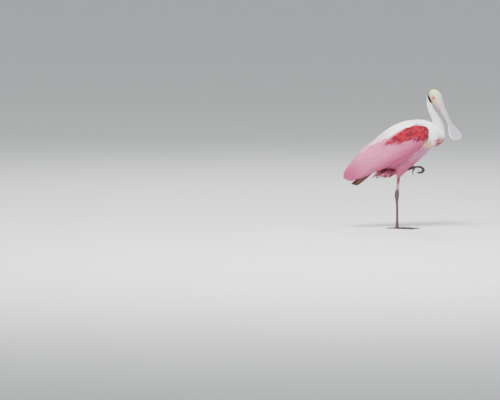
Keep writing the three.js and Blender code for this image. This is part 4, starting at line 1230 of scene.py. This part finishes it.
# %% Tail
tail_vanes = []
for side in (1, -1):
    for i in range(6):
        root = np.array([-116 + i, side * (1.5 + i * 1.6), -28.5 - i * 0.7])
        tip = np.array([-214 + i * 2.6 + 2 * math.sin(i * 2.3 + side), side * (3 + i * 3.4), -33 - i * 2.0])
        u = np.linspace(0, 1, 16)
        centre = body(*(root[:, None] + (tip - root)[:, None] * u[None]))
        half = 10.2 * smooth([[0, 0.4], [0.3, 0.85], [0.75, 1], [0.93, 0.78], [1, 0.1]])(u)[:, 0]
        v = np.linspace(-1, 1, 9)
        lean = side * (0.2 + 0.13 * i)
        across = math.cos(lean) * ACROSS + math.sin(lean) * RISE
        level = math.cos(lean) * RISE - math.sin(lean) * ACROSS
        flat = centre[:, None] + half[:, None, None] * v[None, :, None] * across
        rise = (0.4 * (1 - v ** 2) + 0.3 * np.exp(-(v / 0.14) ** 2))[None, :, None] * level
        rings = np.concatenate([flat + rise + 0.18 * level, (flat + rise - 0.18 * level)[:, ::-1]], axis=1)
        across_share = np.concatenate([(v + 1) / 2, (v[::-1] + 1) / 2])
        tail_vanes.append((*tube(rings), *tube_maps(u, across_share), centre[0]))
tail_feathers = vane_piece("tail_feathers", tail_vanes)


def tail_look(tree):
    """Rusty webs, darker at the shaft and redder towards the root."""
    place = object_at(tree)
    x, from_shaft, lines = barbs(tree, 60)
    shade = tree.mix(tree.noise(place, 120.0, stretch=(1, 1, 4)), colour(86, 26, 8), colour(58, 16, 8))
    shade = tree.mix(from_shaft.between(0.12, 0.04) * 0.7, shade, colour(62, 18, 12))
    shade = tree.mix(x.between(0.45, 0.0) * 0.7, shade, colour(140, 40, 44))
    shade = tree.mix((lines * 0.5 + 0.5) * 0.14, shade, colour(120, 44, 28))
    return {"colour": shade, "height": lines * 0.5, "depth": 0.0002}


tail_feathers.data.materials.append(finish("tail_webs", tail_look, roughness=0.6, sheen=0.15, specular=0.3))
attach(tail_feathers, "root")
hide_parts("tail")


# %% [markdown]
# The plumes under the tail are long, pink and curled, and a grown bird has a tuft of short rosy curls low on
# the breast. They grow in locks: a few plumes share a root and a curl, and each strays a little.

# %% Plumes under the tail and on the breast
def plume_look(light, deep, rust):
    """A look for plumes: pale at the tip, deep at the root, some rusty."""
    def look(tree):
        shade = tree.mix(tree.attribute("along", 2).between(0.15, 0.8), deep, light)
        shade = tree.mix(tree.attribute("shade", 2).between(0.72, 0.95) * 0.7, shade, rust)
        on_blade = tree.add("ShaderNodeUVMap", {"uv_map": "blade_map"}, {})
        lines = (tree.parts(on_blade)[0] * 190).sine()
        return {"colour": shade, "height": lines * 0.5, "depth": 0.00004}
    return look


def lock(root, direction, length, curl, strands, wide, spread, rng):
    """A lock of plumes that share a root and a curl, each a little off the others."""
    made = []
    for _ in range(strands):
        off = rng.normal(0, 1, 3) * spread
        aim_at = np.asarray(direction) / np.linalg.norm(direction) + rng.normal(0, 0.1, 3)
        long, broad = length * rng.uniform(0.75, 1.05), wide * rng.uniform(0.7, 1.2)
        made.append(plume(root + off, aim_at, long, broad, curl + rng.normal(0, 0.25), rng))
    return made


rng = np.random.default_rng(21)
vent = []
for i in range(62):
    s = -34 - 66 * rng.random()
    sideways = rng.uniform(-1, 1)
    top, bottom, half = TORSO(s)
    root = body(s, sideways * half * 0.55, bottom + 4 + 8 * sideways ** 2)
    back = (-34 - s) / 66
    backward, downward = -0.9 + 0.55 * back + rng.normal(0, 0.12), -0.5 - 0.4 * back + rng.normal(0, 0.1)
    long, curl = rng.uniform(26, 42), rng.choice([-1, 1]) * rng.uniform(0.3, 1.0)
    vent += lock(root, [backward, sideways * 0.14, downward], long, curl, 6, 4.2, 1.6, rng)
for i in range(18):
    s = -98 - 22 * rng.random()
    sideways = rng.uniform(-1, 1)
    root = body(s, sideways * 12, -35 + 5 * rng.random())
    long, curl = rng.uniform(38, 58), rng.normal(0, 0.3)
    vent += lock(root, [-0.92, sideways * 0.12, -0.42], long, curl, 5, 5.2, 1.4, rng)
vent_plumes = vane_piece("vent_plumes", vent, across=22)
vent_look = plume_look(colour(204, 112, 142), colour(150, 38, 66), colour(130, 26, 32))
vent_plumes.data.materials.append(finish("vent_plume", vent_look, roughness=0.75, sheen=0.2))
breast = []
for i in range(90):
    s, angle = rng.normal(140, 8), rng.uniform(2.05, 3.14)
    root = shell_point(TORSO, rng.choice([-1, 1]), np.array(min(s, 160)), np.array(angle), -2.0)
    aim_at = [rng.uniform(-0.8, 0.0), 0.15 * np.sign(root[1]) + rng.normal(0, 0.2), -0.75]
    long, curl = rng.uniform(9, 16), rng.choice([-1, 1]) * rng.uniform(0.3, 1.0)
    breast += lock(root, aim_at, long, curl, 5, 1.7, 1.6, rng)
breast_plumes = vane_piece("breast_plumes", breast, across=22)
breast_look = plume_look(colour(206, 138, 144), colour(172, 70, 84), colour(156, 26, 40))
breast_plumes.data.materials.append(finish("breast_plume", breast_look, roughness=0.75, sheen=0.2))
for piece in (vent_plumes, breast_plumes):
    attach(piece, "root")

# %% [markdown]
# ## The bare head
# A grown spoonbill's head is bare skin, and it is what one looks at first. It is a loft of the skull with
# many more rings than the solid, pushed in and out by rules: the socket and its lids, the ear behind the eye,
# the corner of the mouth, the pouch under the bill and fine wrinkles. The colours follow the same places:
# greenish yellow-white, orange below the eye and at the gape, and a black band from the nape to the throat.

# %% Head skin
rows, columns = 130, 150
x = -31 + 61 * (1 - np.cos(np.linspace(0, 1, rows) * math.pi * 0.93)) / (1 - math.cos(math.pi * 0.93))
top, bottom, half = SKULL(x).T
turn = np.linspace(0, math.tau, columns, endpoint=False)
middle, tall = (top + bottom) / 2, (top - bottom) / 2
local = np.stack([
    np.repeat(x[:, None], columns, 1),
    np.sin(turn)[None] * half[:, None],
    middle[:, None] + np.cos(turn)[None] * tall[:, None],
], -1)
outward = np.stack([
    np.zeros((rows, columns)), np.sin(turn)[None] * tall[:, None], np.cos(turn)[None] * half[:, None],
], -1)
outward /= np.maximum(np.linalg.norm(outward, axis=2), 1e-6)[..., None]


def bump_at(place, centre, radius):
    """1 at a place on either side of the head, falling to 0 at the radii round it."""
    away = (np.abs(place) * np.array([0, 1, 0]) + place * np.array([1, 0, 1]) - centre) / radius
    return np.exp(-(away ** 2).sum(-1))


OBLIQUE = np.array([[0.8, 0.5, 0.33], [-0.36, 0.85, -0.4], [0.48, -0.2, 0.85]])


def wave(place, frequencies, phase):
    """A cheap smooth noise: a few sines of the place."""
    total = 0
    for k, f in enumerate(frequencies):
        a, b, c = np.moveaxis(place @ OBLIQUE * f, -1, 0)
        total = total + np.sin(a + phase + k) * np.sin(b * 1.3 + k * 2.1) * np.cos(c * 1.1 - k)
    return total / len(frequencies)


forward, sideways, upward = np.moveaxis(local, -1, 0)
outside = np.abs(sideways)
eye_away = np.sqrt(((outside - EYE_AT[1]) * 0.55) ** 2 + (forward - EYE_AT[0]) ** 2 / 1.25
                   + (upward - EYE_AT[2]) ** 2 / 0.8)
lid = np.exp(-((eye_away - EYE_RADIUS * 0.98) / 1.1) ** 2)
brow = bump_at(local, [EYE_AT[0] - 1, EYE_AT[1], EYE_AT[2] + 7], [8, 6, 3])
socket = 1 / (1 + np.exp((eye_away - EYE_RADIUS * 0.8) / 0.35))
push = 0.9 * lid - 2.6 * socket + 0.9 * brow
push -= 1.2 * bump_at(local, [-13, 19.8, -1], [2.6, 4, 3.4])
ear_away = np.sqrt((forward + 13) ** 2 + ((upward + 1) / 1.25) ** 2)
push += 0.8 * np.exp(-(ear_away - 4.2) ** 2) * (outside > 12)
over_gape = upward + 5.5 + 0.12 * (forward - 20)
push -= 1.1 * np.exp(-(over_gape / 0.7) ** 2) * (forward > 12) * (outside > 10)
push += 0.5 * np.exp(-(over_gape - 1.8) ** 2) * (forward > 12)
push += 1.6 * bump_at(local, [20, 0, -18], [11, 13, 5])
push += 0.16 * wave(local, [0.9, 1.7, 2.9], 0.4)
push += 0.12 * np.sin(forward * 1.9 + 2 * wave(local, [0.35], 1.0)) * (upward < 4)
shaped = local + outward * push[..., None]
tucked = np.interp(x, [22, 30], [1.0, 0.9])[:, None, None]
axis_line = np.stack([x, 0 * x, middle], -1)[:, None]
shaped = axis_line + (shaped - axis_line) * np.concatenate([np.ones_like(tucked), tucked, tucked], -1)
points, faces = tube(head_place(shaped))
flat_local = np.concatenate([shaped.reshape(-1, 3), shaped[0].mean(0)[None], shaped[-1].mean(0)[None]])
head_skin = turned_out(make_piece("head_skin", points, faces, {"on_head": flat_local}))
print("head skin", len(head_skin.data.polygons), "faces")

# %% [markdown]
# The head's colours are rules of place in the head's own frame, so they keep to the eye's rim, the gape and
# the nape however the head is turned. Noise stains and mottles them, and folds in the bump make dry skin.

# %% Head colours
def head_look(tree):
    """Greenish yellow-white skin, orange at the gape and a black band behind."""
    place = tree.attribute("on_head")
    f, y, u = tree.parts(place)
    side = y.absolute()
    grain = tree.noise(place, 0.35, detail=5.0)
    mottle = tree.noise(place, 0.11, detail=3.0)
    shade = tree.mix(mottle, colour(194, 200, 170), colour(164, 172, 146))
    crown = (u * 0.8 - f * 0.6).between(9, 20)
    shade = tree.mix(crown * 0.8, shade, colour(214, 222, 146))
    stains = tree.noise(place, 0.24, detail=4.0).between(0.56, 0.7)
    shade = tree.mix(stains * 0.5, shade, colour(226, 208, 150))
    shade = tree.mix((f + grain * 8).between(22, 32), shade, colour(190, 176, 160))
    below_eye = (((f - 9) / 15) ** 2 + ((u + 7.5) / 6) ** 2) ** 0.5
    orange = below_eye.between(1.15, 0.55) * side.between(8, 12)
    shade = tree.mix(orange * (mottle * 0.5 + 0.55), shade, colour(222, 132, 18))
    ring = (((f - 8.8) / 7.4) ** 2 + ((u - 5) / 6.6) ** 2) ** 0.5
    shade = tree.mix(ring.between(1.3, 0.85) * side.between(8, 12) * 0.8, shade, colour(216, 96, 34))
    ear = (((f + 12) / 7) ** 2 + ((u + 1) / 8) ** 2) ** 0.5
    shade = tree.mix(ear.between(1.3, 0.7) * side.between(8, 12) * 0.6, shade, colour(214, 206, 226))
    edge = (f * 0.47 + u * 0.88).maths("MINIMUM", f * 0.47 + u * 0.88, f * 0.9 + u * 0.3 + 10)
    band = (edge + mottle * 3).between(-8.5, -10.5) * (f + mottle * 4).between(9, 5)
    throat = (f + mottle * 4).between(8, 0) * u.between(-14, -18)
    cracks = tree.add("ShaderNodeTexVoronoi", {"feature": "DISTANCE_TO_EDGE"},
                      {"Vector": place, "Scale": 1.5})
    folds = tree.noise(place, 0.5, detail=5.0, stretch=(0.5, 1, 1.5))
    shade = tree.mix(cracks.between(0.06, 0.0) * 0.1, shade, colour(150, 144, 110))
    # Painted shade: the hollows of the folds in the bump are darker.
    shade = tree.mix(folds.between(0.46, 0.36) * 0.35, shade, colour(150, 146, 116))
    shade = tree.mix(band.maths("MAXIMUM", band, throat), shade, colour(22, 20, 24))
    height = cracks.between(0.0, 0.1) * 0.25 + folds * 1.2 + grain * 0.3
    return {"colour": shade, "height": height, "depth": 0.0005, "rough": grain * 0.25 + 0.4}


head_finish = finish("bare_head", head_look, roughness=0.5, coat=0.05)
head_skin.data.materials.append(head_finish)
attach(head_skin, "root")
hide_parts("head")


# %% [markdown]
# The lids are a fleshy ring round the eye. A modelled ring with small wrinkles gives a real edge against the
# ball, which bump in the head's material could not.

# %% Lids
LID_LONG, LID_ROUND = 96, 18  # points round the eye, and round the lid itself


def lid_ring(side):
    """A wrinkled fleshy ring round one eye, in the head's frame."""
    around = np.linspace(0, math.tau, LID_LONG, endpoint=False)
    across = np.linspace(0, math.tau, LID_ROUND, endpoint=False)
    wrinkle = 1 + 0.07 * np.sin(around * 23) + 0.05 * np.sin(around * 41 + 1)
    thick = (1.15 * wrinkle)[:, None]
    reach = 4.75 + 0.25 * np.cos(around * 2)[:, None] + thick * np.cos(across)[None]
    out = 17.55 + thick * 0.8 * np.sin(across)[None] + 0.5 * np.cos(around)[:, None]
    ring = np.stack([reach * np.cos(around)[:, None], out, reach * 0.94 * np.sin(around)[:, None]], -1)
    return (ring + EYE_AT * np.array([1, 0, 1])) * np.array([1, side, 1])


for side, word in ((1, "left"), (-1, "right")):
    ring = lid_ring(side)
    ring = ring.reshape(-1, 3)
    faces, last = grid_faces(LID_LONG, LID_ROUND, closed=True), (LID_LONG - 1) * LID_ROUND
    after = [(k + 1) % LID_ROUND for k in range(LID_ROUND)]
    faces += [(last + k, last + after[k], after[k], k) for k in range(LID_ROUND)]
    lids = turned_out(make_piece(f"lids_{word}", head_place(ring), faces, {"on_head": ring}))
    lids.data.materials.append(head_finish)
    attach(lids, "root")
print("lids of", len(lids.data.polygons), "faces each")


# %% [markdown]
# ## Eyes
# The eye is a ball with a small bulge in front, red with a round dark pupil. The wet look comes from a
# smooth coat on the same surface, because a separate glass cornea would hide the colour in the export.

# %% Eyes
def eye_look(tree):
    """A dark pupil in a red iris, with a darker rim."""
    place = tree.attribute("on_eye")
    away = tree.parts(place)[0]
    fibres = tree.noise(place, 3.0, detail=4.0)
    shade = tree.mix(away.between(0.42, 0.8) * (fibres * 0.6 + 0.4), colour(160, 8, 6), colour(76, 2, 2))
    shade = tree.mix(away.between(0.42, 0.36), shade, colour(6, 4, 4))
    shade = tree.mix(away.between(0.74, 0.86), shade, colour(30, 6, 5))
    return {"colour": shade}


eye_finish = finish("eye", eye_look, roughness=0.12, coat=1.0, specular=0.6)
EYE_SPIN = 48
GAZE = math.radians(24)  # how far forwards of straight out the pupil looks
for side, word in ((1, "left"), (-1, "right")):
    polar = np.linspace(0.02, math.pi - 0.02, 40)
    spin = np.linspace(0, math.tau, EYE_SPIN, endpoint=False)
    bulge = EYE_RADIUS * (1 + 0.06 * np.exp(-(polar / 0.5) ** 2))
    ball = np.stack([
        (np.sin(polar) * bulge)[:, None] * np.cos(spin)[None],
        np.repeat((np.cos(polar) * bulge)[:, None], EYE_SPIN, 1) * side,
        (np.sin(polar) * bulge)[:, None] * np.sin(spin)[None],
    ], -1)
    c, s = math.cos(GAZE), side * math.sin(GAZE)
    looking = ball @ np.array([[c, -s, 0], [s, c, 0], [0, 0, 1]])
    centre = EYE_AT * np.array([1, side, 1]) + np.array([0, side * -0.25, 0])
    points, faces = tube(head_place(looking + centre))
    away = np.concatenate([np.repeat(np.sin(polar) + 2 * (polar > math.pi / 2), EYE_SPIN), [0, 2]])
    held = np.column_stack([away, away * 0, away * 0])
    spun = ball.reshape(-1, 3)
    held[:-2, 1:] = spun[:, [0, 2]] / EYE_RADIUS
    eye = turned_out(make_piece(f"eye_{word}_ball", points, faces, {"on_eye": held}))
    eye.data.materials.append(eye_finish)
    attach(eye, "root")
    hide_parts(f"eye_{word}")
print("two eyes,", 2 * EYE_RADIUS, "mm across")

# %% [markdown]
# ## The bill
# Both halves come from the same knots as the solids: half width, height, depth and the line between them.
# The upper half is arched at the root and flat at the spoon, with a groove along each side, low bumps across
# its root, and a rim round the spoon. The horn is grey-lavender, pinker in strips near the face.

# %% Bill
BILL = smooth([
    [-8, 15, 12, 13, 0], [0, 15, 12.6, 13.5, 0], [15, 13.8, 11, 11.2, 0], [35, 11.6, 7.8, 7, 0.3],
    [60, 9.9, 5.4, 4.2, 0.8], [85, 10, 4.1, 3.1, 1.4], [102, 12.4, 3.4, 2.6, 1.6], [118, 18.4, 2.9, 2.3, 1.0],
    [132, 24.4, 2.7, 2.1, 0], [143, 26.5, 2.5, 1.9, -0.9], [153, 22.6, 2.3, 1.8, -2],
    [159, 14.8, 2, 1.6, -2.8], [162, 5, 1.4, 1.2, -3.4],
])
OUTSIDE, INSIDE = 49, 9  # points across the outer and the inner face of each half


def bill_half(upper):
    """One half of the bill, as a fine closed body, with each point's place in the bill's frame."""
    x = np.concatenate([np.linspace(-6, 100, 90), np.linspace(101, 158, 64), np.linspace(158.4, 162, 12)])
    half, high, deep, line = BILL(x).T
    u = np.clip((x - 90) / 35, 0, 1)
    spoon = 0.9 * u ** 2 * (3 - 2 * u)
    a = np.sin(np.linspace(-math.pi / 2, math.pi / 2, OUTSIDE))
    arch = 0.42 + 0.58 * np.sqrt(np.maximum(1 - a ** 2, 0))
    dish = 0.72 + 0.28 * a ** 2
    size = (high if upper else deep)[:, None]
    rise = size * (arch[None] * (1 - spoon[:, None]) + dish[None] * spoon[:, None])
    groove_at = np.interp(x, [0, 60, 110, 162], [0.55, 0.62, 0.8, 0.86])[:, None]
    groove = np.exp(-((np.abs(a)[None] - groove_at) / 0.06) ** 2)
    rise -= groove * np.interp(x, [-6, 20, 120, 150, 162], [0.5, 0.7, 0.35, 0.2, 0])[:, None]
    ridges = np.sin(x * 1.25) * np.interp(x, [-6, 4, 50, 78], [0, 0.26, 0.16, 0])
    rise += ridges[:, None] * (1 - a[None] ** 2) * (1 if upper else 0.4)
    if upper:
        aside = np.abs(a)[None] * half[:, None]
        rise -= 2.4 * np.exp(-(aside - 6) ** 2 - (((x - 14) / 4.6) ** 4)[:, None])  # the nostril
        rise += 0.4 * np.exp(-(aside - 7.6) ** 2 - (((x - 14) / 6) ** 4)[:, None])
    sign = 1 if upper else -1
    outer = np.stack([
        np.repeat(x[:, None], OUTSIDE, 1), a[None] * half[:, None], line[:, None] + sign * (rise + 0.15),
    ], -1)
    b = np.linspace(1, -1, INSIDE)
    inner = np.stack([
        np.repeat(x[:, None], INSIDE, 1), b[None] * half[:, None] * 0.995,
        np.repeat((line + sign * 0.15)[:, None], INSIDE, 1),
    ], -1)
    rings = np.concatenate([outer, inner], axis=1)
    points, faces = tube(bill_place(rings))
    held = np.concatenate([rings.reshape(-1, 3), rings[0].mean(0)[None], rings[-1].mean(0)[None]])
    across = np.concatenate([np.tile(np.concatenate([a, b]), len(x)), [0, 0]])
    return points, faces, held, across


def horn_look(tree):
    """Grey-lavender horn with pink-buff strips at the root, dark specks, a pale rim and painted shade in the
    grooves.
    """
    place = tree.attribute("on_bill")
    x = tree.parts(place)[0]
    edge = tree.attribute("across", 2).absolute()
    cloud = tree.noise(place, 0.09, detail=4.0)
    lengthwise = tree.noise(place, 0.5, detail=4.0, stretch=(0.14, 1.6, 1.0))
    speck = tree.noise(place, 0.75, detail=2.0)
    shade = tree.mix(cloud, colour(176, 164, 172), colour(142, 134, 146))
    shade = tree.mix(lengthwise.between(0.48, 0.66) * x.between(100, 20) * 0.85, shade, colour(220, 192, 178))
    shade = tree.mix(lengthwise.between(0.44, 0.34) * x.between(110, 30) * 0.7, shade, colour(112, 104, 112))
    shade = tree.mix(x.between(30, 4) * edge.between(0.2, 0.8) * 0.7, shade, colour(214, 156, 112))
    shade = tree.mix((x + lengthwise * 14 - 7).between(9, 3), shade, colour(182, 180, 158))
    shade = tree.mix(speck.between(0.62, 0.72) * x.between(100, 30) * 0.5, shade, colour(112, 104, 118))
    shade = tree.mix(x.between(96, 128), shade, tree.mix(cloud, colour(172, 168, 182), colour(150, 146, 164)))
    shade = tree.mix(edge.between(0.86, 0.97) * x.between(90, 118), shade, colour(226, 222, 222))
    # Painted shade: the groove along each side is darker from the root to about x = 60, fading out by x = 90.
    groove_shade = (edge - 0.55).absolute().between(0.05, 0.0) * x.between(90, 60)
    shade = tree.mix(groove_shade * 0.6, shade, colour(104, 92, 104))
    height = lengthwise * 0.6 + speck * 0.25
    return {"colour": shade, "height": height, "depth": 0.00035, "rough": cloud * 0.3 + 0.32}


horn_finish = finish("bill_horn", horn_look, roughness=0.45, coat=0.08)
for upper, name in ((True, "upper_bill"), (False, "lower_bill")):
    points, faces, held, across = bill_half(upper)
    half_bill = turned_out(make_piece(name + "_horn", points, faces, {"on_bill": held, "across": across}))
    half_bill.data.materials.append(horn_finish)
    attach(half_bill, "root")
    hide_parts(name)
    print(name, len(half_bill.data.polygons), "faces")

# %% [markdown]
# ## Legs and feet
# Bare legs have a net of small scales, and thicken at the ankle. They are lofts with the solids' own points
# and many more rings. The toes are lofts with a swelling at each joint, flat underneath where they stand, and
# the front ones share small webs. Claws are short curved cones. The scales are cells in the bump.

# %% Leg lofts
LEGS = {
    "right": {
        "shank": [[5.4, -13.8, 192, 4.8, 5.6], [3.6, -11.4, 168, 4.7, 5.5], [1.6, -9.4, 147, 4.9, 5.8],
                  [0, -8, 133, 6.2, 7.6], [-0.8, -7.3, 121, 6.8, 8.6], [-0.8, -7, 114, 6.4, 7.8]],
        "tarsus": [[-0.8, -7.4, 123, 6.8, 8.4], [-0.6, -6.7, 110, 5.6, 6.8], [0, -5.4, 92, 3.7, 4.8],
                   [0.6, -3.4, 60, 3.5, 4.6], [0.8, -1.4, 28, 3.7, 4.9], [0.6, 0, 9, 4.8, 5.6]],
    },
    "left": {
        "shank": [[-12, 32, 213, 4.8, 5.4], [-28, 32, 204, 5, 6], [-38, 31.4, 199, 6.6, 8],
                  [-45, 30.8, 193.5, 6.4, 7.6], [-43, 29.8, 187.5, 5, 6]],
        "tarsus": [[-46, 30.4, 196, 5.4, 6.6], [-44, 29.6, 189.5, 6, 7], [-34, 28.4, 190.5, 5.4, 6],
                   [-20, 26.6, 194.5, 4, 4.8], [12, 22, 205, 3.5, 4.6], [44, 18, 214.8, 3.7, 4.8],
                   [58, 16.5, 219.6, 4.8, 5.4]],
    },
}


def leg_lofts(side):
    """The shank and the tarsus of one leg, as rings."""
    return [limb_rings(np.array(part)[:, :3], np.array(part)[:, 3:], 60, 28) for part in LEGS[side].values()]


print("knots of the legs", sum(len(part) for leg in LEGS.values() for part in leg.values()))

# %% [markdown]
# A spoonbill has three front toes joined by small webs, and a hind toe. A toe is a tube with a swelling at
# each joint and fine folds across it. A leg's tubes and webs are then fused into one skin.

# %% Toes
TOES = {"inner": (55, 27, 3.7), "middle": (76, -2, 4.1), "outer": (65, -30, 3.8), "hind": (34, 168, 3.4)}
CLAW_LENGTH = 9


def toe_ahead(angle):
    """The level direction of a toe, at an angle in degrees from straight ahead."""
    return np.array([math.cos(math.radians(angle)), math.sin(math.radians(angle)), 0])


def toe_rings(path, thick):
    """A toe with a swelling under each joint."""
    path = np.asarray(path, float)
    rings = limb_rings(path, np.ones((len(path), 2)), 60, 20, across=np.array([0.05, 1, 0.02]))
    u = np.linspace(0, 1, 60)
    swell = 1 + 0.1 * np.cos(u * math.tau * 3.2) - 0.42 * u
    folds = 1 - 0.035 * np.maximum(np.sin(u * 150), 0)
    centre = rings.mean(1, keepdims=True)
    return centre + (rings - centre) * (thick * swell * folds)[:, None, None]


def claw_rings(root, direction, drop, thick):
    """A short curved cone."""
    u = np.linspace(0, 1, 16)[:, None]
    path = root + direction * CLAW_LENGTH * u + drop * 2.4 * u ** 2
    width = np.interp(u[:, 0], [0, 0.5, 1], [thick, thick * 0.78, 0.3])
    return limb_rings(path, np.column_stack([width, width]), 16, 16)


standing_lofts = leg_lofts("right")
standing_lofts.append(limb_rings([[0.6, 0, 15], [0.5, 0, 8], [0.5, 0, 4], [0.5, 0, 1]],
                                 [[4.7, 5.5], [5.6, 6.6], [6.6, 7.6], [5.6, 6.6]], 24, 28))
standing_claws, raised_claws = [], []
for name, (length, angle, thick) in TOES.items():
    ahead = toe_ahead(angle)
    path = [np.array([0.5, 0, z]) + ahead * reach * length
            for reach, z in ((0.02, 4.6), (0.2, 3.4), (0.42, 3.1), (0.62, 2.8), (0.82, 2.5), (1, 2.1))]
    standing_lofts.append(toe_rings(path, thick))
    standing_claws.append(claw_rings(path[-1] + np.array([0, 0, 0.25]), ahead, np.array([0, 0, -0.45]), 1.85))


def web(first, second, reach):
    """The small skin between two front toes, thin and curved in at its edge."""
    ends = [toe_ahead(TOES[name][1]) * TOES[name][0] for name in (first, second)]
    u = np.linspace(0, 1, 12)
    edge = ends[0] * reach * (1 - u)[:, None] + ends[1] * reach * 0.92 * u[:, None]
    edge = edge * (1 - 0.26 * np.sin(math.pi * u))[:, None]
    v = np.linspace(0.04, 1, 14)
    sheet = edge[None] * v[:, None, None] + np.array([0.5, 0, 1.6])
    lift = np.array([0, 0, 0.7])
    return np.concatenate([sheet + lift, (sheet - lift)[:, ::-1]], axis=1)


standing_lofts += [web("middle", "inner", 0.42), web("outer", "middle", 0.5)]
raised_lofts = leg_lofts("left")
raised_base = np.array([54, 17, 218.2])
raised_forward = np.array([0.95, -0.08, 0.31]) / np.linalg.norm([0.95, 0.08, 0.31])
raised_lofts.append(limb_rings([raised_base + raised_forward * reach for reach in (-4, 6, 12)],
                               [[4.7, 5.3], [6.4, 6.2], [5.2, 4.8]], 24, 24))
curl_from = raised_base + raised_forward * 9
for name, spread, size in (("inner", -7, 0.82), ("middle", 0, 1.0), ("outer", 7, 0.9)):
    path = [curl_from + np.array([px * size, spread * py, pz * size]) for px, pz, py in
            ((0, 0, 0.45), (14, 2, 1), (27, 0, 1.2), (35, -8, 1.3), (31, -18, 1.3), (18, -21, 1.2))]
    raised_lofts.append(toe_rings(path, TOES[name][2]))
    direction = (path[-1] - path[-2]) / np.linalg.norm(path[-1] - path[-2])
    raised_claws.append(claw_rings(path[-1], direction, np.array([0, 0, 1.0]), 1.85))
path = [curl_from + np.array(offset) for offset in ((0, 0, -1), (-2, -1, -9), (-6, -1, -16), (-5, -1, -22))]
raised_lofts.append(toe_rings(path, TOES["hind"][2]))
direction = (path[-1] - path[-2]) / np.linalg.norm(path[-1] - path[-2])
raised_claws.append(claw_rings(path[-1], direction, np.array([1.0, 0, 0]), 1.7))


# %% [markdown]
# The shank is red, with a pale band above the mauve ankle. The tarsus is dull red, the standing foot is
# nearly black, and the raised foot is painted dark as the shade under the belly. The bands depend on the
# height above the floor, and a cloudy noise moves their edges.

# %% Leg colours
def leg_look(tree):
    """Red-pink shanks, a mauve ankle, a dark standing foot and a raised foot painted dark as shade, under a
    net of scales.
    """
    place = object_at(tree)
    x, _, z = tree.parts(place)
    z = z * 1000
    cloud = tree.noise(place, 110.0, detail=4.0)
    stretched = tree.add("ShaderNodeMapping", {}, {"Vector": place, "Scale": (1.0, 1.0, 0.62)})
    cells = tree.add("ShaderNodeTexVoronoi", {"feature": "DISTANCE_TO_EDGE"},
                     {"Vector": stretched, "Scale": 760.0})
    shade = tree.mix(cloud, colour(134, 42, 60), colour(106, 32, 48))
    ankle = (z + cloud * 14).between(164, 150) * (z + cloud * 10).between(98, 108)
    shade = tree.mix(ankle, shade, colour(74, 46, 62))
    pale = (z + cloud * 16).between(176, 166) * (z + cloud * 16).between(146, 156)
    shade = tree.mix(pale * 0.8, shade, colour(184, 136, 150))
    tarsus = tree.mix(cloud, colour(88, 40, 56), colour(70, 32, 46))
    shade = tree.mix((z + cloud * 8).between(116, 102) * 0.9, shade, tarsus)
    # Painted shade: the raised foot, held under the belly, is darkened to the standing foot's colour.
    raised = (x * 1000 + cloud * 12).between(36, 52) * z.between(150, 180)
    dark = raised.maths("MAXIMUM", raised, (z + cloud * 8).between(26, 14))
    shade = tree.mix(dark, shade, tree.mix(cloud, colour(70, 52, 58), colour(44, 36, 42)))
    shade = tree.mix(cells.between(0.09, 0.0) * 0.3, shade, colour(110, 60, 74))
    return {"colour": shade, "height": cells.between(0.0, 0.16), "depth": 0.0004, "rough": cloud * 0.2 + 0.42}


def claw_look(tree):
    """Black horn, browner and lined towards the tip."""
    place = object_at(tree)
    lines = tree.noise(place, 900.0, detail=2.0)
    shade = tree.mix(lines, colour(34, 28, 30), colour(62, 50, 50))
    return {"colour": shade, "height": lines, "depth": 0.0001}


leg_finish = finish("leg_skin", leg_look, roughness=0.5, coat=0.05)
claw_finish = finish("claw_horn", claw_look, roughness=0.35, coat=0.1)
for word, lofts, claws in (("right", standing_lofts, standing_claws), ("left", raised_lofts, raised_claws)):
    leg = fused_piece(f"leg_{word}_skin", lofts, 0.0008, 3)
    if word == "right":
        heights = np.empty(len(leg.data.vertices) * 3)
        leg.data.vertices.foreach_get("co", heights)
        heights = heights.reshape(-1, 3)
        heights[:, 2] = np.maximum(heights[:, 2], 0)
        leg.data.vertices.foreach_set("co", heights.ravel())
    leg.data.materials.clear()
    leg.data.materials.append(leg_finish)
    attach(leg, "root")
    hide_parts(f"shank_{word}", f"tarsus_{word}", f"foot_{word}")
    for toe, rings in zip(TOES, claws):
        points, faces = tube(rings)
        points[:, 2] = np.maximum(points[:, 2], 0)
        claw = turned_out(make_piece(f"claw_{word}_{toe}_horn", points, faces))
        claw.data.materials.append(claw_finish)
        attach(claw, "root")
        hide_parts(f"claw_{word}_{toe}")

# %% [markdown]
# ## Sizes
# Both boxes, of the solids and of the pieces shown, are printed in millimetres, with the number of
# triangles in all. The visual model has to stay in the solids' box, apart from what soft feathers add.

# %% Finish
shown_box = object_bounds()
for name, corners in (("solids", cad_box), ("shown", shown_box)):
    print(name, [[round(v * 1000, 1) for v in corner] for corner in corners])
shown = [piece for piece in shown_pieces() if piece.type == "MESH"]
total = sum(len(face.vertices) - 2 for piece in shown for face in piece.data.polygons)
print("triangles in all", total)
